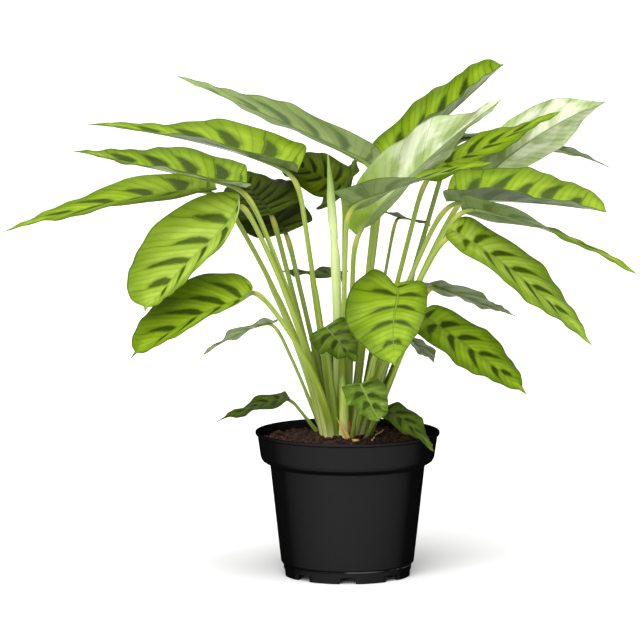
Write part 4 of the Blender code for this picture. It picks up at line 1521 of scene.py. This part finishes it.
@dataclass
class Pot:
    """The moulded nursery pot: a rolled lip, a collar, a step in, a tapered body and a notched foot.

    notch and drain are each the width, the height and the depth of the cuts in the foot, and
    past_foot and below_ground how far the blocks that cut it stand out.
    """

    sides: int = 160
    body_radius: float = 0.0588
    base_radius: float = 0.0505
    base_height: float = 0.0105
    floor_height: float = 0.0076
    foot_radius: float = 0.0482
    # The height of the ledge that has the painted highlight.
    ledge_height: float = 0.0090
    notches: int = 8
    notch: Triple = (0.0220, 0.0050, 0.0013)
    drain: Triple = (0.0130, 0.0046, 0.0057)
    notch_taper: float = 0.82
    past_foot: float = 0.006
    below_ground: float = 0.002

    def profile(self) -> list[tuple[float, float]]:
        """The wall's outline, from the floor's middle over the lip and down to the foot's underside.

        Returns:
            The (radius, height) points.
        """
        slope = (self.body_radius - self.base_radius) / (STEP_HEIGHT - self.base_height)
        floor_inside = self.base_radius - WALL + slope * (self.floor_height - self.base_height)
        return filleted(
            (
                (0.0, 0.0013, 0.0),
                (0.0160, 0.0013, 0.0006),
                (0.0190, self.floor_height, 0.0008),
                (floor_inside, self.floor_height, 0.0012),
                (self.body_radius - WALL, STEP_HEIGHT, 0.0008),
                (0.0636, 0.0892, 0.0010),
                (0.0647, 0.0905, 0.0008),
                (0.0670, 0.1072, 0.0006),
                (0.0679, 0.1096, 0.0003),
                (0.0684, 0.1100, 0.0003),
                (0.0700, 0.1100, 0.0006),
                (0.0700, 0.1078, 0.0006),
                (0.0684, 0.1071, 0.0004),
                (0.0660, 0.0906, 0.0011),
                (0.0646, 0.0879, 0.0007),
                (self.body_radius, STEP_HEIGHT, 0.0008),
                (self.base_radius, self.base_height, 0.0007),
                (0.0486, 0.0085, 0.0003),
                (self.foot_radius, 0.0000, 0.0008),
                (0.0456, 0.0000, 0.0006),
                (0.0452, 0.0060, 0.0008),
                (0.0203, 0.0060, 0.0008),
                (0.0173, 0.0000, 0.0006),
                (0.0, 0.0, 0.0),
            )
        )

    def cutter(self, width: float, height: float, depth: float) -> bpy.types.Object:
        """The blocks that cut the foot from outside, as one mesh.

        Args:
            width: how wide a block is at the ground.
            height: how high it reaches.
            depth: how far it reaches in below the foot's face.

        Returns:
            The mesh object.
        """
        blocks = []
        middle = self.foot_radius + (self.past_foot - depth) / 2
        for index in range(self.notches):
            block = added(bpy.ops.mesh.primitive_cube_add, size=1.0)
            turn = Matrix.Rotation(index * math.tau / self.notches - math.pi / 2, 3, "Z")
            for vert in block.data.vertices:
                high = vert.co.z > 0
                vert.co.x = vert.co.x * (self.past_foot + depth) + middle
                vert.co.y *= width * (self.notch_taper if high else 1.0)
                vert.co.z = height if high else -self.below_ground
                vert.co = turn @ vert.co
            blocks.append(block)
        only(*blocks)
        bpy.ops.object.join()
        turn_out(blocks[0])
        return blocks[0]

    def finish(self) -> bpy.types.Material:
        """Satin black plastic, a little dusty, with a painted highlight along the ledge above the foot.

        Returns:
            The material.
        """
        s = NodeSketch("satin_black_plastic")
        place = s.place()
        height = s.split(place)[2]
        broad = s.noise(place, 26.0, 3.0)
        scratches = s.noise(s.join(broad * 3.0, 0.0, height), 900.0, 2.0)
        dust = s.rise(scratches, 0.62, 0.80) * s.rise(broad, 0.50, 0.70)
        # Painted highlight: pale marks along the ledge above the foot, where it catches the light.
        seam = s.fall(abs(height - self.ledge_height), 0.0002, 0.0007)
        ledge_highlight = seam * s.rise(s.noise(place, 60.0, 2.0), 0.50, 0.66)
        colour = s.coats(
            s.mix(broad, lit(8, 8, 9), lit(12, 12, 13)),
            (dust * 0.10, lit(92, 90, 88)),
            (ledge_highlight * 0.55, lit(104, 104, 104)),
        )
        s.bump(s.noise(place, 1400.0, 3.0, 0.6), 0.00004, 0.5)
        gloss = s.fall(s.grazing(), 0.03, 0.50) * 0.16
        return s.finish(colour, broad.between(0.44, 0.56), gloss)

    def build(self) -> None:
        """Builds the pot and hands it over in place of its solid."""
        pot = turned("nursery_pot", self.profile(), self.sides)
        for sizes in (self.notch, self.drain):
            blocks = self.cutter(*sizes)
            cut = pot.modifiers.new("cut", "BOOLEAN")
            cut.operation = "DIFFERENCE"
            cut.object = blocks
            apply_modifier(pot, "cut")
            bpy.data.objects.remove(blocks, do_unlink=True)
        pot.data.materials.append(self.finish())
        shade(pot, 32.0)
        hand_over(pot, "pot_plastic", "pot")


SOIL_LEVEL = 0.1030
# The soil's rise over that level at some distances from the pot's axis.
SOIL_RINGS = ((0.0, 0.0035), (0.014, 0.0032), (0.030, 0.0016), (0.048, 0.0), (0.0656, -0.0006))
# The size and the height of its lumps, from coarse to fine.
SOIL_LUMPS = ((0.011, 0.0012), (0.0045, 0.0009), (0.0018, 0.0006))


def soil_height(x: float, y: float) -> float:
    """How high the crumbly soil stands at a place.

    Args:
        x: the place to the right.
        y: the place to the back.

    Returns:
        The height, in metres.
    """
    radius = math.hypot(x, y)
    for inner, outer in zip(SOIL_RINGS, SOIL_RINGS[1:]):
        if radius <= outer[0]:
            break
    share = min(1.0, (radius - inner[0]) / (outer[0] - inner[0]))
    level = SOIL_LEVEL + inner[1] + (outer[1] - inner[1]) * share
    rough = 0.0
    for size, depth in SOIL_LUMPS:
        rough += noise.noise(Vector((x / size, y / size, size * 900))) * depth
    return level + rough


class Grain(Enum):
    """The two shapes of a grain of soil, by how finely they are divided."""

    COARSE = 2
    FINE = 1


@dataclass
class Soil:
    """The potting soil: a rough filling, loose crumbs on it, and bits of bark among them.

    The more small_bias is, the commoner small grains are. sunk are the least and greatest height of a
    grain's middle over the soil, for its radius, tilt is how far it leans, in radians, narrowest the
    least width for its length, and lumps how uneven its surface is.
    """

    seed: int = 11
    sides: int = 220
    rings: int = 64
    wall: float = 0.0656
    crumbs: int = 3000
    chips: int = 420
    spread: float = 0.0640
    coarse_size: float = 0.0008
    small_bias: float = 2.6
    sunk: tuple[float, float] = (-0.1, 0.55)
    tilt: float = 0.5
    narrowest: float = 0.7
    lumps: float = 0.24

    def filling(self) -> None:
        """The soil's body, with a rough top."""
        low = (
            (0.0643, 0.0905),
            (0.0632, 0.0895),
            (0.0572, STEP_HEIGHT),
            (0.0486, 0.0079),
            (0.0187, 0.0079),
            (0.0157, 0.0016),
            (0.0, 0.0016),
        )
        profile = [(self.wall * step / self.rings, 0.0) for step in range(self.rings + 1)] + list(low)
        piece = turned("soil_filling", profile, self.sides)
        for vert in piece.data.vertices:
            if vert.co.z == 0.0:
                vert.co.z = soil_height(vert.co.x, vert.co.y)
        piece.data.materials.append(self.finish("potting_soil_body", lit(22, 12, 8), lit(56, 34, 22), 900.0))
        turn_out(piece)
        shade(piece, 80.0)
        hand_over(piece, "potting_soil", "soil")

    def finish(self, name: str, dark: Colour, light: Colour, scale: float) -> bpy.types.Material:
        """Moist crumbly soil or bark, each grain with a tone of its own.

        Args:
            name: the material's name.
            dark: its darker tone.
            light: its lighter tone.
            scale: how fine its grain is, in waves for a metre.

        Returns:
            The material.
        """
        s = NodeSketch(name)
        fine = s.noise(s.place(), scale, 4.0, 0.65)
        share = s.rise(fine, 0.35, 0.75) * 0.55 + s.attribute(SEED_ATTRIBUTE) * 0.45
        s.bump(fine, 0.0004, 0.8)
        return s.finish(s.mix(share, dark, light), 0.88, 0.25)

    def shapes(self) -> dict[Grain, tuple[list[Vector], list[tuple[int, ...]]]]:
        """The corners and faces of both shapes of grain, with a radius of 1.

        Returns:
            The shapes.
        """
        shapes = {}
        for grain in Grain:
            ball = added(bpy.ops.mesh.primitive_ico_sphere_add, subdivisions=grain.value, radius=1.0)
            corners = [vert.co.copy() for vert in ball.data.vertices]
            shapes[grain] = (corners, [tuple(face.vertices) for face in ball.data.polygons])
            bpy.data.objects.remove(ball, do_unlink=True)
        return shapes

    def grains(
        self,
        name: str,
        count: int,
        sizes: tuple[float, float],
        long: float,
        flat: float,
        skin: bpy.types.Material,
    ) -> None:
        """Loose grains that lie on the soil, as one mesh.

        Args:
            name: the object's name.
            count: how many there are.
            sizes: the least and greatest radius, in metres.
            long: how much longer than wide a grain may be.
            flat: how thick it is for its width.
            skin: their finish.
        """
        draw = random.Random(f"{name}{self.seed}")
        shapes = self.shapes()
        points, faces, tones = [], [], []
        for _ in range(count):
            size = sizes[0] + (sizes[1] - sizes[0]) * draw.random() ** self.small_bias
            corners, sides = shapes[Grain.COARSE if size > self.coarse_size else Grain.FINE]
            radius = self.spread * math.sqrt(draw.random())
            angle = draw.uniform(0, math.tau)
            x, y = radius * math.cos(angle), radius * math.sin(angle)
            middle = Vector((x, y, soil_height(x, y) + size * draw.uniform(*self.sunk) * flat))
            tilt = Matrix.Rotation(draw.uniform(-self.tilt, self.tilt), 3, "X")
            tilt = tilt @ Matrix.Rotation(draw.uniform(-self.tilt, self.tilt), 3, "Y")
            turn = tilt @ Matrix.Rotation(draw.uniform(0, math.tau), 3, "Z")
            length = draw.uniform(1.0, long)
            width = draw.uniform(self.narrowest, 1.0)
            stretch = Vector((length, width, draw.uniform(self.narrowest, 1.0) * flat))
            first = len(points)
            tones += [draw.random()] * len(corners)
            for corner in corners:
                lump = 1 + draw.uniform(-self.lumps, self.lumps)
                points.append(middle + turn @ (corner * stretch * (size * lump)))
            faces.extend(tuple(first + index for index in side) for side in sides)
        mesh = bpy.data.meshes.new(name)
        mesh.from_pydata(points, [], faces)
        piece = bpy.data.objects.new(name, mesh)
        bpy.context.scene.collection.objects.link(piece)
        note(piece, SEED_ATTRIBUTE, tones)
        mesh.materials.append(skin)
        shade(piece, 50.0)
        hand_over(piece, "potting_soil")

    def build(self) -> None:
        """Builds the filling, the crumbs and the bits of bark."""
        self.filling()
        crumb = self.finish("soil_crumb", lit(22, 13, 9), lit(72, 46, 31), 1500.0)
        self.grains("soil_crumbs", self.crumbs, (0.0005, 0.0024), 1.3, 0.8, crumb)
        bark = self.finish("bark_chip", lit(78, 42, 22), lit(168, 104, 62), 1200.0)
        self.grains("bark_chips", self.chips, (0.0004, 0.0013), 2.6, 0.45, bark)


# The dry things at the crown


@dataclass(frozen=True)
class StrawFinish:
    """Dry plant fibre, with fine lengthwise streaks."""

    name: str
    light: Colour
    dark: Colour

    @cache
    def make(self) -> bpy.types.Material:
        """Lays the nodes.

        Returns:
            The material.
        """
        s = NodeSketch(self.name)
        across, along = s.uv()
        fine = s.noise(s.join(across * 9.0, along * 2.5, 0.0), 2.0, 4.0, 0.6)
        s.bump(fine, 0.0003, 0.8)
        return s.finish(s.mix(s.rise(fine, 0.35, 0.70), self.light, self.dark), 0.72, 0.3)


STRAW = StrawFinish("dry_straw_pale", lit(214, 184, 104), lit(164, 122, 56))
RUST = StrawFinish("dry_straw_rust", lit(166, 100, 44), lit(104, 58, 26))
FIBRE = StrawFinish("root_fibre_skin", lit(222, 190, 150), lit(180, 140, 100))


@dataclass(frozen=True)
class Strip:
    """A papery strip along a path, curled across, that ends in a point.

    widths are its half widths at the foot and halfway up, curl is how far it curls across, in
    radians, and facing is the way that its hollow side looks. It narrows by taper from taper_start on,
    and its edges waver by a share of the width, rough.
    """

    name: str
    path: tuple[Triple, ...]
    widths: tuple[float, float]
    curl: float
    facing: Triple
    finish: StrawFinish
    nodes: tuple[str, ...] = ()
    thickness: float = 0.0002
    taper_start: float = 0.55
    taper: float = 0.92
    rough: float = 0.18

    def build(self) -> None:
        """Builds the strip and hands it over."""
        points = [Vector(point) for point in self.path]
        last = len(points) - 1

        def place(across: float, along: float) -> Spot:
            """A point of the strip.

            Args:
                across: 0 at one edge and 1 at the other.
                along: 0 at the foot and 1 at the point.

            Returns:
                The point and its UV.
            """
            where = along * last
            ahead = heading(points, where)
            wide = ahead.cross(Vector(self.facing)).normalized()
            deep = wide.cross(ahead)
            half = self.widths[0] + (self.widths[1] - self.widths[0]) * min(1.0, along * 2)
            half *= 1 - smooth_step(self.taper_start, 1.0, along) * self.taper
            half *= 1 + self.rough * noise.noise(Vector((across * 4, along * 7, len(self.name))))
            turn = (across - 0.5) * self.curl
            reach = half / max(0.05, self.curl / 2)
            sideways, hollow = math.sin(turn) * reach, (1 - math.cos(turn)) * reach
            return spline(points, where) + wide * sideways + deep * hollow, across, along

        piece = wrapped_grid(self.name, (10, 40), place)
        thicken(piece, self.thickness)
        piece.data.materials.append(self.finish.make())
        shade(piece, 60.0)
        hand_over(piece, "dry_straw", *self.nodes)


@dataclass(frozen=True)
class Fibre:
    """A root fibre that lies on the soil, along the (x, y) places of its path.

    It narrows by the share taper, its radius wavers by the share rough, and it rises and sinks by sway.
    """

    name: str
    path: tuple[tuple[float, float], ...]
    radius: float
    nodes: tuple[str, ...] = ()
    clearance: float = 0.0008
    taper: float = 0.5
    rough: float = 0.25
    sway: float = 0.0006

    def build(self) -> None:
        """Builds the fibre and hands it over."""
        points = [Vector(point) for point in self.path]
        last = len(points) - 1
        radius = self.radius

        def ring(angle: float, share: float) -> Vector:
            """A point of the fibre.

            Args:
                angle: how far round.
                share: how far along.

            Returns:
                The point.
            """
            flat = spline(points, share * last)
            ahead = heading(points, share * last)
            size = radius * (1 - self.taper * share) * rounded(share, 0.01, 0.02)
            size *= 1 + self.rough * noise.noise(Vector((share * 22, radius * 9000, 0.0)))
            height = soil_height(flat.x, flat.y) + radius * 1.6 + self.clearance
            height += self.sway * math.sin(share * 5)
            aside = Vector((-ahead.y, ahead.x, 0.0)) * math.cos(angle) * size
            return Vector((flat.x, flat.y, height)) + aside + Vector((0.0, 0.0, math.sin(angle) * size))

        piece = tube(self.name, (8, 70), ring)
        piece.data.materials.append(FIBRE.make())
        shade(piece, 70.0)
        hand_over(piece, "dry_straw", *self.nodes)


CROWN_LITTER = (
    Strip(
        "dry_sheath_strip",
        (
            (0.0015, -0.0195, 0.0990),
            (0.0, -0.0200, 0.1065),
            (-0.0035, -0.0210, 0.1140),
            (-0.0085, -0.0215, 0.1230),
        ),
        widths=(0.0032, 0.0019),
        curl=2.0,
        facing=(0.3, -1.0, 0.2),
        finish=STRAW,
        nodes=("dry_sheath",),
    ),
    Strip(
        "dry_sheath_ring",
        (
            (0.0012, -0.0215, 0.1052),
            (0.0040, -0.0240, 0.1058),
            (0.0078, -0.0236, 0.1060),
            (0.0105, -0.0205, 0.1056),
        ),
        widths=(0.0018, 0.0015),
        curl=1.6,
        facing=(0.0, -0.5, 1.0),
        finish=STRAW,
    ),
    Strip(
        "rusty_scale",
        (
            (0.0030, -0.0140, 0.1010),
            (0.0022, -0.0150, 0.1120),
            (0.0008, -0.0155, 0.1190),
            (0.0, -0.0152, 0.1250),
        ),
        widths=(0.0012, 0.0007),
        curl=2.4,
        facing=(0.2, 1.0, 0.0),
        finish=RUST,
    ),
    Fibre(
        "root_fibre_long",
        (
            (0.0183, -0.0262),
            (0.0205, -0.0170),
            (0.0216, -0.0057),
            (0.0250, 0.0080),
            (0.0256, 0.0201),
            (0.0283, 0.0400),
        ),
        radius=0.00065,
        nodes=("root_fibre",),
    ),
    Fibre(
        "root_fibre_left",
        ((0.0235, 0.0090), (0.0225, 0.0149), (0.0205, 0.0280), (0.0199, 0.0420)),
        radius=0.0004,
    ),
    Fibre("root_fibre_cross", ((0.0205, 0.0310), (0.0244, 0.0380), (0.0283, 0.0440)), radius=0.00035),
)


# Each light's name, the way to it, how broad it looks, in degrees, and its strength.
LIGHTS = (
    ("key_light", (-0.30, -1.0, 0.60), 50.0, 3.0),
    ("top_light", (0.15, -0.25, 1.0), 60.0, 2.8),
)


@dataclass
class Studio:
    """A plain pale floor, soft lights and the camera at the photograph's angle."""

    aim: Triple = (-0.0209, 0.0, 0.1947)
    distance: float = 4.0
    elevation: float = 7.2
    lens: float = 297.2
    sensor: float = 36.0
    floor_half: float = 30.0
    sky: float = 0.30

    def floor(self) -> None:
        """The floor, which fills the whole background."""
        floor = added(bpy.ops.mesh.primitive_plane_add, size=self.floor_half * 2)
        floor.name = "studio_floor"
        s = NodeSketch("studio_white")
        white = s.mix(s.noise(s.place(), 0.4, 2.0), lit(250, 250, 250), lit(252, 252, 252))
        floor.data.materials.append(s.finish(white, 0.9, 0.1))

    def light(self, name: str, come_from: Triple, spread: float, strength: float) -> None:
        """A broad soft light from far away, which lights the floor evenly.

        Args:
            name: the light's name.
            come_from: the way to it.
            spread: how broad it looks from the plant, in degrees.
            strength: its strength on a face that looks at it, in watts for a square metre.
        """
        lamp = added(bpy.ops.object.light_add, type="SUN")
        lamp.name = name
        lamp.data.energy = strength
        lamp.data.angle = math.radians(spread)
        lamp.rotation_mode = "QUATERNION"
        lamp.rotation_quaternion = Vector(come_from).to_track_quat("Z", "Y")

    def camera(self) -> None:
        """The camera, straight in front and a little above."""
        tilt = math.radians(self.elevation)
        back, up = self.distance * math.cos(tilt), self.distance * math.sin(tilt)
        camera = added(
            bpy.ops.object.camera_add,
            location=(self.aim[0], self.aim[1] - back, self.aim[2] + up),
            rotation=(math.pi / 2 - tilt, 0.0, 0.0),
        )
        camera.name = "photo_camera"
        camera.data.lens = self.lens
        camera.data.sensor_width = self.sensor
        camera.data.clip_end = 100.0
        bpy.context.scene.camera = camera

    def build(self) -> None:
        """Builds the floor, the world, the lights and the camera."""
        self.floor()
        world = bpy.data.worlds.new("studio_world")
        world.use_nodes = True
        back = world.node_tree.nodes["Background"]
        back.inputs["Color"].default_value = (1.0, 1.0, 1.0, 1.0)
        back.inputs["Strength"].default_value = self.sky
        bpy.context.scene.world = world
        for light in LIGHTS:
            self.light(*light)
        self.camera()
        bpy.context.scene.view_settings.view_transform = "Standard"


def main() -> None:
    """Builds every piece in order, then the floor, the lights and the camera."""
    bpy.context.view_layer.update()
    for leaf in LEAVES:
        LeafMaker(leaf).build()
    for piece in (*YOUNG_LEAVES, Pot(), Soil(), *CROWN_LITTER):
        piece.build()
    Studio().build()


if __name__ == "__main__":
    logging.basicConfig(level=logging.INFO, format="%(name)s: %(message)s")
    main()
